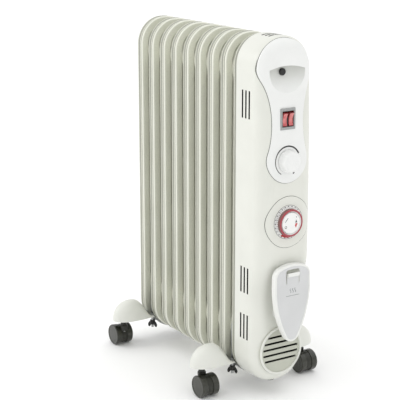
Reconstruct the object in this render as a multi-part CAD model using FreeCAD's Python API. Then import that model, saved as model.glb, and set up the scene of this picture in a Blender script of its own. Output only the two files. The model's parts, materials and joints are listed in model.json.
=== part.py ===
"""Oil filled radiator heater: nine pressed fins in a row, a control cover over the last one, four casters.

Millimetres.  +X runs along the row of fins towards the controls, +Z is up, and the origin is on the
floor under the middle of the object's own box.
"""
import FreeCAD, Part
import math
import os

V = FreeCAD.Vector
X_AXIS, Y_AXIS, Z_AXIS = V(1, 0, 0), V(0, 1, 0), V(0, 0, 1)

# ---- driving dimensions ----------------------------------------------------------------------------
FIN_COUNT = 9
FIN_PITCH = 41.0
FIN_WIDTH = 106.0            # across, along Y
FIN_HEIGHT = 612.0
FIN_BOTTOM = 28.0            # floor to the underside of the fins
FIN_CORNER = 50.0            # radius of the fin outline's corners
FIRST_FIN_X = -210.0         # middle plane of the rear fin
FIN_TOP = FIN_BOTTOM + FIN_HEIGHT

SHEET = 1.2                  # pressed steel sheet of the fins
RIM_WIDTH = 17.0             # rolled flange round a fin, along X
RIM_DEPTH = 13.5             # depth of its two folded lips
RIM_ROUND = 4.0
LIP_GAP = 2.5                # lips to the oil channel
CHANNEL_INSET = RIM_DEPTH + LIP_GAP    # outline to the oil channel
CHANNEL_THICK = 11.0
WEB_HALF = 12.0              # half-width of the flat web between the two oil channels
WEB_BOTTOM, WEB_TOP = FIN_BOTTOM + 172.0, FIN_TOP - 150.0
BOSS_R = 40.0                # collector boss that joins one fin to the next
BOSS_HOLE_R = 30.0
BOSS_LOW_Z, BOSS_HIGH_Z = FIN_BOTTOM + 84.0, FIN_TOP - 62.0
ELEMENT_HOLE_R = 20.0
PLUG_R, PLUG_HEAD_R, PLUG_HEAD = 5.0, 8.0, 3.0

GAP = 0.3                    # clearance between pieces that don't touch
RUN = 0.05                   # radial clearance of a running fit

COVER_WALL = 1.5
COVER_BACK = 3.0             # distances of the cover's planes from the front fin's middle plane
COVER_FRONT = 82.5
COVER_LOW_FRONT = 66.0       # the recessed lower face behind the cord hook
COVER_EDGE = 24.0            # rounding between the end face and the sides
BOW_RADIUS = 5200.0          # the end face is slightly bowed in height
BOW_APEX_Z = FIN_TOP - 310.0
RECESS_LOW_Z, RECESS_HIGH_Z = FIN_BOTTOM + 157.0, FIN_BOTTOM + 234.0

SLOT_PLACES = (22.0, 32.0, 42.0)           # vent slots, from the front fin's middle plane
SLOT_WIDTH = 4.2
SLOT_GROUPS = ((FIN_BOTTOM + 81.0, FIN_BOTTOM + 127.0), (FIN_BOTTOM + 166.0, FIN_BOTTOM + 213.0),
               (FIN_TOP - 137.0, FIN_TOP - 89.0))
TOP_SLOT_HALF = 17.0

PANEL_Y = -3.0                             # the panel and its controls stand a little off the middle
PANEL_TOP_Z, PANEL_TOP_R = FIN_TOP - 51.5, 50.5
PANEL_LOW_Z, PANEL_LOW_R = FIN_TOP - 204.5, 40.5
PANEL_WAIST_R = 180.0
PANEL_PROUD, PANEL_WALL = 1.2, 1.5
INLAY_GROOVE, INLAY_LIP = 0.5, 3.0
POCKET_R, POCKET_DEPTH = 37.0, 12.0        # finger pocket under the lid of the panel
POCKET_Z, LID_RISE, LID_HALF, LID_DROP = FIN_TOP - 52.0, 6.0, 46.0, 4.0
POCKET_WALL = 2.5

CAP_Y, CAP_Z, CAP_R = PANEL_Y - 3.5, POCKET_Z - 5.0, 6.2
SWITCH_Z = FIN_TOP - 135.0
BEZEL_HALF_Y, BEZEL_HALF_Z, BEZEL_THICK = 14.75, 18.0, 2.4
HOUSING_HALF_Y, HOUSING_HALF_Z, HOUSING_DEPTH = 13.0, 15.6, 24.0
ROCKER_R, ROCKER_PIN_R, ROCKER_REST_DEG = 13.2, 1.2, 8.0
ROCKER_INNER_Y, ROCKER_OUTER_Y = 1.0, 12.0

KNOB_Z, KNOB_R, KNOB_HEIGHT = FIN_TOP - 207.0, 19.5, 18.5
SHAFT_R, BUSH_R = 3.0, 5.0
THERMOSTAT_HALF, THERMOSTAT_DEPTH = 17.0, 20.0

TIMER_Z, TIMER_PLATE_R, TIMER_PROUD = FIN_TOP - 314.0, 45.0, 0.6
DIAL_R, RED_RING_R, CENTRE_R = 29.2, 24.0, 18.6
DIAL_FLOOR, RED_RING_HEIGHT = 2.0, 10.0
SPINDLE_R = 5.0
TAPPET_COUNT, TAPPET_HEIGHT = 48, 3.0
MODULE_R, MODULE_DEPTH = 33.0, 20.0

HOOK_BACK, HOOK_FRONT = 89.6, 101.0        # cord hook's rim, from the front fin's middle plane
HOOK_WALL = 2.5
HOOK_STEM_Z, HOOK_STEM_R, HOOK_FLANGE_R = FIN_BOTTOM + 135.0, 14.0, 18.0
TONGUE_HALF, TONGUE_LOW_Z, TONGUE_HIGH_Z = 12.0, HOOK_STEM_Z + 57.0, HOOK_STEM_Z + 82.0
TONGUE_SLOT, LIP_PROUD = 1.6, 3.0

GRILLE_Z, GRILLE_R, GRILLE_RIM = FIN_BOTTOM + 60.0, 45.0, 3.5
LOUVRE_PITCH, LOUVRE_HEIGHT, LOUVRE_COUNT = 10.8, 4.0, 5
LOUVRE_TOP_Z = GRILLE_Z + 26.0

GLAND_X, GLAND_R, GLAND_BORE_R = 35.0, 6.0, 4.2
SHIELD_THICK = 1.2

FOOT_INSET = 20.5            # first and last fin to the feet's middle planes
BAR_WIDTH, BAR_THICK = 30.0, 2.5
ARM_Z, ARM_END_Y = FIN_BOTTOM + 26.0, 120.0
HOOD_IN_Y, HOOD_OUT_Y, HOOD_HALF_X = 46.0, 131.0, 23.0
HOOD_BOTTOM, HOOD_TOP, HOOD_WALL = ARM_Z - 1.5, ARM_Z + 36.5, 2.0
HOOD_HEEL, HOOD_FLAT = 7.0, 4.0            # upright part of its outer end, and half its flat crown
HOOD_POST_Y, HOOD_POST_R = 82.0, 6.0
UBOLT_R, UBOLT_END_Z = 2.5, 24.0
UBOLT_Y = BOSS_R + UBOLT_R + 0.5
NUT_HEIGHT, NUT_R = 9.0, 4.5

CASTER_Y, CASTER_TRAIL = 109.0, 13.0
WHEEL_R, WHEEL_WIDTH, WHEEL_ROUND = 20.0, 12.0, 1.0
WEB_Y = 5.2                  # half-thickness of the caster frame between its wheels
SLEEVE_R, SLEEVE_TOP = 7.0, ARM_Z + 21.0
AXLE_R, STEM_R, STEM_TOP = 3.0, 4.0, SLEEVE_TOP + 2.0
SCREW_R, SCREW_HEAD_R = 1.75, 3.5

# ---- places worked out from them -------------------------------------------------------------------
LAST_FIN_X = FIRST_FIN_X + (FIN_COUNT - 1) * FIN_PITCH
RIM_FACE = RIM_WIDTH / 2
COVER_GROW = GAP + COVER_WALL              # fin outline to cover outline
SHIELD_X = LAST_FIN_X + RIM_FACE
FACE_LOW_X = LAST_FIN_X + COVER_LOW_FRONT
FEET = {"front": (LAST_FIN_X - FOOT_INSET, 1), "rear": (FIRST_FIN_X + FOOT_INSET, -1)}
SIDES = {"left": -1, "right": 1}


# ---- helpers ---------------------------------------------------------------------------------------
def box(x0, x1, y0, y1, z0, z1):
    """A box between two corners."""
    return Part.makeBox(x1 - x0, y1 - y0, z1 - z0, V(x0, y0, z0))


def rod(radius, start, end):
    """A round bar from one point to another."""
    return Part.makeCylinder(radius, (end - start).Length, start, end - start)


def along_x(radius, x0, x1, y, z):
    """A round bar along X."""
    return rod(radius, V(x0, y, z), V(x1, y, z))


def along_z(radius, z0, z1, x, y):
    """A round bar along Z."""
    return rod(radius, V(x, y, z0), V(x, y, z1))


def ring_x(outer, inner, x0, x1, y, z):
    """A tube along X."""
    return along_x(outer, x0, x1, y, z).cut(along_x(inner, x0 - 1, x1 + 1, y, z))


def prism(wire, direction):
    """A closed flat wire carried along a direction."""
    return Part.Face(wire).extrude(direction)


def polygon(points):
    """A closed wire of straight edges."""
    return Part.makePolygon([*points, points[0]])


def outline(grow, x):
    """The fins' rounded outline in the plane at x, moved outwards by grow."""
    half, radius = FIN_WIDTH / 2 + grow, FIN_CORNER + grow
    low, high = FIN_BOTTOM - grow, FIN_TOP + grow
    y, z_low, z_high = half - radius, low + radius, high - radius
    diagonal = radius * math.sqrt(0.5)
    edges = [
        Part.makeLine(V(x, -y, low), V(x, y, low)),
        Part.Arc(V(x, y, low), V(x, y + diagonal, z_low - diagonal), V(x, half, z_low)).toShape(),
        Part.makeLine(V(x, half, z_low), V(x, half, z_high)),
        Part.Arc(V(x, half, z_high), V(x, y + diagonal, z_high + diagonal), V(x, y, high)).toShape(),
        Part.makeLine(V(x, y, high), V(x, -y, high)),
        Part.Arc(V(x, -y, high), V(x, -y - diagonal, z_high + diagonal), V(x, -half, z_high)).toShape(),
        Part.makeLine(V(x, -half, z_high), V(x, -half, z_low)),
        Part.Arc(V(x, -half, z_low), V(x, -y - diagonal, z_low - diagonal), V(x, -y, low)).toShape(),
    ]
    return Part.Wire(edges)


def slab(grow, x0, x1):
    """The fin outline, moved outwards by grow, carried from x0 to x1."""
    return prism(outline(grow, x0), V(x1 - x0, 0, 0))


def save(name, shape):
    """Write one node."""
    shape.exportStep(f"parts/{name}.step")
    print(f"{name}: {len(shape.Solids)} solid(s), {shape.Volume / 1000:.2f} cm3, valid {shape.isValid()}")


# ---- fins ------------------------------------------------------------------------------------------
def fin(rear_end=False, front_end=False):
    """One fin about X = 0: two pressed sheets with oil channels, bosses and a rolled rim."""
    rim = slab(0, -RIM_FACE, RIM_FACE)
    rim = rim.makeFillet(RIM_ROUND, [e for e in rim.Edges if e.BoundBox.XLength < 0.01])
    rim = rim.cut(slab(-RIM_DEPTH, -RIM_FACE - 1, RIM_FACE + 1))
    curl = slab(-SHEET, SHEET - RIM_FACE, RIM_FACE - SHEET)
    curl = curl.makeFillet(RIM_ROUND - SHEET, [e for e in curl.Edges if e.BoundBox.XLength < 0.01])
    body = rim.cut(curl).fuse(slab(-SHEET / 2, -SHEET, SHEET))

    thick = CHANNEL_THICK / 2
    channel = slab(-CHANNEL_INSET, -thick, thick).cut(
        box(-thick, thick, -WEB_HALF, WEB_HALF, WEB_BOTTOM, WEB_TOP))
    cavity = slab(-CHANNEL_INSET - SHEET, SHEET - thick, thick - SHEET).cut(
        box(-thick, thick, -WEB_HALF - SHEET, WEB_HALF + SHEET, WEB_BOTTOM - SHEET, WEB_TOP + SHEET))
    back = RIM_FACE if rear_end else FIN_PITCH / 2
    front = RIM_FACE if front_end else FIN_PITCH / 2
    for z in (BOSS_LOW_Z, BOSS_HIGH_Z):
        body = body.fuse(along_x(BOSS_R, -back, front, 0, z))
        cavity = cavity.fuse(along_x(BOSS_R - SHEET, SHEET - back, front - SHEET, 0, z))
    body = body.fuse(channel).cut(cavity)
    for z in (BOSS_LOW_Z, BOSS_HIGH_Z):
        start = 0 if rear_end else -FIN_PITCH
        end = 0 if front_end else FIN_PITCH
        body = body.cut(along_x(BOSS_HOLE_R, start, end, 0, z))
    if front_end:
        body = body.cut(along_x(ELEMENT_HOLE_R, 0, FIN_PITCH, 0, BOSS_LOW_Z))
    if rear_end:
        body = body.cut(along_x(PLUG_R, -FIN_PITCH, 0, 0, BOSS_HIGH_Z))
    return body


rear_fin, middle_fin, front_fin = fin(rear_end=True), fin(), fin(front_end=True)
os.makedirs("parts", exist_ok=True)
for index in range(FIN_COUNT):
    shape = rear_fin if index == 0 else front_fin if index == FIN_COUNT - 1 else middle_fin
    save(f"fin_{index + 1}", shape.translated(V(FIRST_FIN_X + index * FIN_PITCH, 0, 0)))

hexagon = [V(FIRST_FIN_X - RIM_FACE, PLUG_HEAD_R * math.sin(math.radians(60 * i)),
             BOSS_HIGH_Z + PLUG_HEAD_R * math.cos(math.radians(60 * i))) for i in range(6)]
plug = prism(polygon(hexagon), V(-PLUG_HEAD, 0, 0)).fuse(
    along_x(PLUG_R, FIRST_FIN_X - RIM_FACE, FIRST_FIN_X, 0, BOSS_HIGH_Z))
save("oil_filler_plug", plug)

# ---- heating element, its gasket and the heat shield ------------------------------------------------
GASKET_THICK, FLANGE_R, FLANGE_THICK = 1.5, 28.0, 4.0
LEG_R, LEG_Y, LEG_Z, LEG_END = 4.0, 9.0, 8.0, 22.0
TERMINAL_R, TERMINAL_LENGTH = 2.0, 12.0
flange_x = SHIELD_X + GASKET_THICK
element = along_x(FLANGE_R, flange_x, flange_x + FLANGE_THICK, 0, BOSS_LOW_Z)
for y in (-LEG_Y, LEG_Y):
    bend_x = FIRST_FIN_X + LEG_END
    for z in (BOSS_LOW_Z - LEG_Z, BOSS_LOW_Z + LEG_Z):
        element = element.fuse(along_x(LEG_R, bend_x, flange_x + 1, y, z))
        element = element.fuse(along_x(TERMINAL_R, flange_x, flange_x + FLANGE_THICK + TERMINAL_LENGTH, y, z))
    bend = Part.makeTorus(LEG_Z, LEG_R, V(bend_x, y, BOSS_LOW_Z), Y_AXIS)
    element = element.fuse(bend.common(box(bend_x - 20, bend_x, y - 9, y + 9, 0, 200)))
save("heating_element", element)
save("element_gasket", ring_x(FLANGE_R, ELEMENT_HOLE_R, SHIELD_X, flange_x, 0, BOSS_LOW_Z))

SHIELD_POST_R = 6.0
shield = slab(-GAP, SHIELD_X, SHIELD_X + SHIELD_THICK)
shield = shield.cut(along_x(FLANGE_R + 2, SHIELD_X - 1, SHIELD_X + 9, 0, BOSS_LOW_Z))


# ---- control cover ---------------------------------------------------------------------------------
def face_x(z):
    """Where the cover's outer end face is at a height above its recess."""
    drop = BOW_RADIUS - math.sqrt(BOW_RADIUS ** 2 - (z - BOW_APEX_Z) ** 2)
    return LAST_FIN_X + COVER_FRONT - drop


def cover_form(grow, back_x):
    """The cover's outer shape moved outwards by grow: fin outline, bowed end face, recessed foot."""
    low, high = FIN_BOTTOM - 20, FIN_TOP + 20
    x_low, x_high = FACE_LOW_X + grow, face_x(RECESS_HIGH_Z) + grow
    middle = V((x_low + x_high) / 2, 0, (RECESS_LOW_Z + RECESS_HIGH_Z) / 2)
    step = V(x_high - x_low, 0, RECESS_HIGH_Z - RECESS_LOW_Z)
    radius = step.Length ** 2 / (4 * step.x)
    angle = math.asin(step.z / 2 / radius) / 2
    inwards, rise = radius * (1 - math.cos(angle)), radius * math.sin(angle)
    start, end = V(x_low, 0, RECESS_LOW_Z), V(x_high, 0, RECESS_HIGH_Z)
    top = V(face_x(high) + grow, 0, high)
    apex = V(face_x(BOW_APEX_Z) + grow, 0, BOW_APEX_Z)
    side = Part.Wire([
        Part.makeLine(V(back_x, 0, low), V(x_low, 0, low)),
        Part.makeLine(V(x_low, 0, low), start),
        Part.Arc(start, start + V(inwards, 0, rise), middle).toShape(),
        Part.Arc(middle, end - V(inwards, 0, rise), end).toShape(),
        Part.Arc(end, apex, top).toShape(),
        Part.makeLine(top, V(back_x, 0, high)),
        Part.makeLine(V(back_x, 0, high), V(back_x, 0, low)),
    ])
    side.translate(V(0, -FIN_WIDTH, 0))
    form = prism(side, V(0, 2 * FIN_WIDTH, 0)).common(
        slab(COVER_GROW + grow, back_x, LAST_FIN_X + COVER_FRONT + 20))
    front = [e for e in form.Edges
             if e.BoundBox.XMin > FACE_LOW_X - 9 and e.BoundBox.YLength < FIN_WIDTH / 2 + 20
             and not (e.BoundBox.XLength > 20 and e.BoundBox.ZLength < 0.01)]
    return form.makeFillet(COVER_EDGE + grow, front)


def inlay(region, flange_region, proud):
    """A piece let into the cover's face: its skin follows the cover, and a lip lies behind the wall."""
    back_x = LAST_FIN_X + COVER_BACK
    behind = -COVER_WALL - GAP
    skin = region.common(cover_form(proud, back_x).cut(cover_form(behind, back_x - 9)))
    lip = flange_region.common(cover_form(behind, back_x).cut(cover_form(behind - PANEL_WALL, back_x - 9)))
    return skin.fuse(lip)


def panel_wire(grow, x):
    """The panel's outline: two circles joined by a waist, moved outwards by grow."""
    apart = PANEL_TOP_Z - PANEL_LOW_Z
    from_top, from_low = PANEL_TOP_R + PANEL_WAIST_R, PANEL_LOW_R + PANEL_WAIST_R
    down = (from_top ** 2 - from_low ** 2 + apart ** 2) / (2 * apart)
    waist_y, waist_z = math.sqrt(from_top ** 2 - down ** 2), PANEL_TOP_Z - down
    top_r, low_r, waist_r = PANEL_TOP_R + grow, PANEL_LOW_R + grow, PANEL_WAIST_R - grow
    join_top = V(x, waist_y * top_r / (top_r + waist_r), PANEL_TOP_Z - down * top_r / (top_r + waist_r))
    up = apart - down
    join_low = V(x, waist_y * low_r / (low_r + waist_r), PANEL_LOW_Z + up * low_r / (low_r + waist_r))

    def mirror(point):
        return V(point.x, -point.y, point.z)

    waist = V(x, waist_y - waist_r, waist_z)
    wire = Part.Wire([
        Part.Arc(mirror(join_top), V(x, 0, PANEL_TOP_Z + top_r), join_top).toShape(),
        Part.Arc(join_top, waist, join_low).toShape(),
        Part.Arc(join_low, V(x, 0, PANEL_LOW_Z - low_r), mirror(join_low)).toShape(),
        Part.Arc(mirror(join_low), mirror(waist), mirror(join_top)).toShape(),
    ])
    wire.translate(V(0, PANEL_Y, 0))
    return wire


INLAY_X = FACE_LOW_X - 12            # inlays start behind every face of the cover
INLAY_LENGTH = V(60, 0, 0)


def panel_region(grow):
    """The panel's outline carried along X."""
    return prism(panel_wire(grow, INLAY_X), INLAY_LENGTH)


def timer_region(grow):
    """The timer plate's round outline carried along X."""
    return along_x(TIMER_PLATE_R + grow, INLAY_X, INLAY_X + INLAY_LENGTH.x, 0, TIMER_Z)


back = LAST_FIN_X + COVER_BACK
cover = cover_form(0, back).cut(cover_form(-COVER_WALL, back - 9))
cover = cover.cut(panel_region(INLAY_GROOVE)).cut(timer_region(INLAY_GROOVE))
half = FIN_WIDTH / 2 + COVER_GROW
for place in SLOT_PLACES:
    x0, x1 = LAST_FIN_X + place - SLOT_WIDTH / 2, LAST_FIN_X + place + SLOT_WIDTH / 2
    for z0, z1 in SLOT_GROUPS:
        cover = cover.cut(box(x0, x1, -half - 1, half + 1, z0, z1))
    cover = cover.cut(box(x0, x1, -TOP_SLOT_HALF, TOP_SLOT_HALF, FIN_TOP - 9, FIN_TOP + 9))
GRILLE_NECK_R = GRILLE_R - 3.0
cover = cover.cut(along_x(GRILLE_NECK_R + GAP, INLAY_X - 9, FACE_LOW_X + 9, 0, GRILLE_Z))
gland_x = LAST_FIN_X + GLAND_X
cover = cover.cut(along_z(GLAND_R + GAP, 0, FIN_BOTTOM + 9, gland_x, 0))
STEM_SCREW_Y = 7.0
for y in (-STEM_SCREW_Y, STEM_SCREW_Y):
    cover = cover.cut(along_x(SCREW_R + GAP, FACE_LOW_X - 5, FACE_LOW_X + 5, y, HOOK_STEM_Z))
save("control_cover", cover)

# ---- control panel with its lid and finger pocket ----------------------------------------------------
pocket_face = face_x(POCKET_Z) + PANEL_PROUD
ball_r = (POCKET_R ** 2 + POCKET_DEPTH ** 2) / (2 * POCKET_DEPTH)
ball_x = pocket_face - POCKET_DEPTH + ball_r


def below_lid(drop):
    """The space under the lid's curved edge, lowered by drop."""
    ends_z = POCKET_Z - drop - LID_DROP
    left, right = V(0, -LID_HALF, ends_z), V(0, LID_HALF, ends_z)
    crown = V(0, 0, POCKET_Z + LID_RISE - drop)
    low = POCKET_Z - 2 * POCKET_R
    wire = Part.Wire([
        Part.Arc(left, crown, right).toShape(),
        Part.makeLine(right, V(0, right.y, low)),
        Part.makeLine(V(0, right.y, low), V(0, left.y, low)),
        Part.makeLine(V(0, left.y, low), left),
    ])
    wire.translate(V(INLAY_X, PANEL_Y, 0))
    return prism(wire, INLAY_LENGTH)


panel = inlay(panel_region(0), panel_region(INLAY_LIP), PANEL_PROUD)
ball = Part.makeSphere(ball_r, V(ball_x, PANEL_Y, POCKET_Z))
cup = Part.makeSphere(ball_r + POCKET_WALL, V(ball_x, PANEL_Y, POCKET_Z)).common(below_lid(-POCKET_WALL))
cup = cup.common(cover_form(-COVER_WALL - GAP, back)).common(panel_region(0))
panel = panel.fuse(cup).cut(ball.common(below_lid(0)))
seat_x = face_x(SWITCH_Z) + PANEL_PROUD - 0.8
panel = panel.cut(box(seat_x, seat_x + 9, PANEL_Y - BEZEL_HALF_Y - GAP, PANEL_Y + BEZEL_HALF_Y + GAP,
                      SWITCH_Z - BEZEL_HALF_Z - GAP, SWITCH_Z + BEZEL_HALF_Z + GAP))
panel = panel.cut(box(INLAY_X, seat_x + 9, PANEL_Y - HOUSING_HALF_Y - GAP, PANEL_Y + HOUSING_HALF_Y + GAP,
                      SWITCH_Z - HOUSING_HALF_Z - GAP, SWITCH_Z + HOUSING_HALF_Z + GAP))
panel = panel.cut(along_x(BUSH_R + GAP, INLAY_X, INLAY_X + 60, PANEL_Y, KNOB_Z))
CAP_STEM_R = 3.0
panel = panel.cut(along_x(CAP_STEM_R, INLAY_X, INLAY_X + 60, CAP_Y, CAP_Z))
save("control_panel", panel)

cap_offset = math.hypot(CAP_Y - PANEL_Y, CAP_Z - POCKET_Z)
cap_x = ball_x - math.sqrt(ball_r ** 2 - cap_offset ** 2)
CAP_HEIGHT, CAP_STEM = 5.0, 9.0
cap = along_x(CAP_R, cap_x - 1, cap_x + CAP_HEIGHT, CAP_Y, CAP_Z)
cap = cap.makeFillet(2.0, [e for e in cap.Edges if e.BoundBox.XMin > cap_x + CAP_HEIGHT - 1])
cap = cap.common(Part.makeSphere(ball_r - GAP, V(ball_x, PANEL_Y, POCKET_Z)))
cap = cap.fuse(along_x(CAP_STEM_R - RUN, cap_x - CAP_STEM, cap_x + 2, CAP_Y, CAP_Z))
save("panel_screw_cap", cap)

# ---- twin rocker switch ------------------------------------------------------------------------------
pivot_x = seat_x - 2.0
housing = box(seat_x - HOUSING_DEPTH, seat_x, -HOUSING_HALF_Y, HOUSING_HALF_Y,
              SWITCH_Z - HOUSING_HALF_Z, SWITCH_Z + HOUSING_HALF_Z)
bezel = box(seat_x, seat_x + BEZEL_THICK, -BEZEL_HALF_Y, BEZEL_HALF_Y,
            SWITCH_Z - BEZEL_HALF_Z, SWITCH_Z + BEZEL_HALF_Z)
window = ROCKER_R + 0.4
bezel = bezel.cut(box(seat_x - 9, seat_x + 9, -ROCKER_OUTER_Y, ROCKER_OUTER_Y,
                      SWITCH_Z - window, SWITCH_Z + window))
housing = housing.cut(rod(ROCKER_PIN_R + RUN, V(pivot_x, -HOUSING_HALF_Y, SWITCH_Z),
                          V(pivot_x, HOUSING_HALF_Y, SWITCH_Z)))
ROCKER_FACE, ROCKER_END_FACE, ROCKER_BACK = 3.0, 6.4, -4.0       # from the pivot, along X
for name, side in SIDES.items():
    y0, y1 = sorted((side * ROCKER_INNER_Y, side * ROCKER_OUTER_Y))
    housing = housing.cut(box(pivot_x - 12, seat_x + 1, y0, y1, SWITCH_Z - window, SWITCH_Z + window))
    profile = polygon([V(ROCKER_BACK, 0, -20), V(ROCKER_BACK, 0, 20), V(ROCKER_END_FACE, 0, 20),
                       V(ROCKER_END_FACE, 0, 14), V(ROCKER_FACE, 0, 0), V(ROCKER_END_FACE, 0, -14),
                       V(ROCKER_END_FACE, 0, -20)])
    profile.translate(V(0, y0 + GAP, 0))
    rocker = prism(profile, V(0, y1 - y0 - 2 * GAP, 0))
    rocker = rocker.common(rod(ROCKER_R, V(0, y0, 0), V(0, y1, 0)))
    pin_in, pin_out = side * (GAP + 0.1), side * (HOUSING_HALF_Y - GAP)
    rocker = rocker.fuse(rod(ROCKER_PIN_R, V(0, pin_in, 0), V(0, pin_out, 0)))
    rocker.rotate(V(0, 0, 0), Y_AXIS, ROCKER_REST_DEG)
    rocker.translate(V(pivot_x, PANEL_Y, SWITCH_Z))
    save(f"rocker_{name}", rocker)
save("switch_housing", housing.translated(V(0, PANEL_Y, 0)))
save("switch_bezel", bezel.translated(V(0, PANEL_Y, 0)))

# ---- thermostat ----------------------------------------------------------------------------------------
knob_x = face_x(KNOB_Z) + PANEL_PROUD + 0.8
body_x = face_x(KNOB_Z) - COVER_WALL - 2 * GAP - PANEL_WALL
thermostat = box(body_x - THERMOSTAT_DEPTH, body_x - GAP, -THERMOSTAT_HALF, THERMOSTAT_HALF,
                 KNOB_Z - THERMOSTAT_HALF, KNOB_Z + THERMOSTAT_HALF)
thermostat = thermostat.fuse(along_x(BUSH_R, body_x - 1, knob_x - GAP, 0, KNOB_Z))
shaft_back = body_x - 12
thermostat = thermostat.cut(along_x(SHAFT_R + RUN, shaft_back - 1, knob_x + 1, 0, KNOB_Z))
save("thermostat_body", thermostat.translated(V(0, PANEL_Y, 0)))
SHAFT_COVER = 5.0                          # knob's crown over the shaft's end
shaft = along_x(SHAFT_R, shaft_back, knob_x + KNOB_HEIGHT - SHAFT_COVER, 0, KNOB_Z)
save("thermostat_shaft", shaft.translated(V(0, PANEL_Y, 0)))
KNOB_DRAFT, KNOB_CROWN = 1.5, 3.5
knob_profile = Part.Wire([
    Part.makeLine(V(0, 0, 0), V(0, 0, KNOB_R)),
    Part.makeLine(V(0, 0, KNOB_R), V(KNOB_HEIGHT - KNOB_CROWN - 4, 0, KNOB_R - KNOB_DRAFT)),
    Part.Arc(V(KNOB_HEIGHT - KNOB_CROWN - 4, 0, KNOB_R - KNOB_DRAFT),
             V(KNOB_HEIGHT - KNOB_CROWN - 1.2, 0, KNOB_R - KNOB_DRAFT - 1.6),
             V(KNOB_HEIGHT - KNOB_CROWN, 0, KNOB_R - KNOB_DRAFT - 4)).toShape(),
    Part.Arc(V(KNOB_HEIGHT - KNOB_CROWN, 0, KNOB_R - KNOB_DRAFT - 4),
             V(KNOB_HEIGHT - 0.9, 0, KNOB_R / 2 - 2), V(KNOB_HEIGHT, 0, 0)).toShape(),
    Part.makeLine(V(KNOB_HEIGHT, 0, 0), V(0, 0, 0)),
])
knob = Part.Face(knob_profile).revolve(V(0, 0, 0), X_AXIS, 360)
KNOB_WALL, KNOB_HUB_R, NOTCH_HALF = 2.0, 6.5, 1.5
knob = knob.cut(ring_x(KNOB_R - KNOB_DRAFT - KNOB_WALL, KNOB_HUB_R, -1, KNOB_HEIGHT - KNOB_CROWN - 3, 0, 0))
knob = knob.cut(along_x(SHAFT_R + RUN, -1, KNOB_HEIGHT - SHAFT_COVER, 0, 0))
knob = knob.cut(box(KNOB_HEIGHT - KNOB_CROWN - 1.5, KNOB_HEIGHT, -NOTCH_HALF, NOTCH_HALF, -KNOB_R, -KNOB_R + 6))
knob.translate(V(knob_x, PANEL_Y, KNOB_Z))
save("thermostat_knob", knob)

# ---- timer ---------------------------------------------------------------------------------------------
timer_plate = inlay(timer_region(0), timer_region(INLAY_LIP), TIMER_PROUD)
timer_plate = timer_plate.cut(along_x(DIAL_R + GAP, INLAY_X, INLAY_X + 60, 0, TIMER_Z))
save("timer_bezel", timer_plate)
dial_x = face_x(TIMER_Z) - 1.0
module_x = face_x(TIMER_Z) - COVER_WALL - PANEL_WALL - 2 * GAP
module = along_x(MODULE_R, module_x - MODULE_DEPTH, module_x, 0, TIMER_Z)
module = module.fuse(along_x(DIAL_R - 2, module_x - 1, dial_x - GAP, 0, TIMER_Z))
module = module.cut(along_x(SPINDLE_R + RUN, module_x - 9, dial_x + 9, 0, TIMER_Z))
save("timer_module", module)
dial_top = dial_x + DIAL_FLOOR + RED_RING_HEIGHT
dial = ring_x(DIAL_R, SPINDLE_R + RUN, dial_x, dial_x + DIAL_FLOOR, 0, TIMER_Z)
dial = dial.fuse(ring_x(RED_RING_R, CENTRE_R + GAP, dial_x, dial_top, 0, TIMER_Z))
save("timer_dial", dial)
centre_x = dial_top - 4.0
centre = along_x(CENTRE_R, centre_x, dial_top - 1.0, 0, TIMER_Z)
centre = centre.fuse(along_x(SPINDLE_R, module_x - 9, centre_x + 1, 0, TIMER_Z))
save("timer_centre_plate", centre)
tappets = []
tappet_x = dial_x + DIAL_FLOOR
TAPPET_INNER, TAPPET_OUTER, TAPPET_HALF = RED_RING_R + 0.2, DIAL_R - 0.2, 1.3
for index in range(TAPPET_COUNT):
    tappet = box(tappet_x, tappet_x + TAPPET_HEIGHT, -TAPPET_HALF, TAPPET_HALF,
                 TIMER_Z + TAPPET_INNER, TIMER_Z + TAPPET_OUTER)
    tappet.rotate(V(0, 0, TIMER_Z), X_AXIS, 360 * (index + 0.5) / TAPPET_COUNT)
    tappets.append(tappet)
save("timer_tappets", Part.Compound(tappets))

# ---- cord hook, vent grille, cord gland -------------------------------------------------------------------
hook_back, hook_front = LAST_FIN_X + HOOK_BACK, LAST_FIN_X + HOOK_FRONT
HOOK_SHAPE = {                             # half-widths, and heights from the middle of the stem
    "top": 92.0, "shoulder": (28.0, 86.0), "corner": (35.0, 79.0), "wide": (37.5, 65.0),
    "flank": (31.5, 5.0), "low": (12.5, -42.0), "tip": -48.5}


def hook_wire(x):
    """The cord hook's pear outline."""
    def right(key):
        return V(x, HOOK_SHAPE[key][0], HOOK_STEM_Z + HOOK_SHAPE[key][1])

    def left(key):
        return V(x, -HOOK_SHAPE[key][0], HOOK_STEM_Z + HOOK_SHAPE[key][1])

    return Part.Wire([
        Part.Arc(left("shoulder"), V(x, 0, HOOK_STEM_Z + HOOK_SHAPE["top"]), right("shoulder")).toShape(),
        Part.Arc(right("shoulder"), right("corner"), right("wide")).toShape(),
        Part.Arc(right("wide"), right("flank"), right("low")).toShape(),
        Part.Arc(right("low"), V(x, 0, HOOK_STEM_Z + HOOK_SHAPE["tip"]), left("low")).toShape(),
        Part.Arc(left("low"), left("flank"), left("wide")).toShape(),
        Part.Arc(left("wide"), left("corner"), left("shoulder")).toShape(),
    ])


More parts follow.
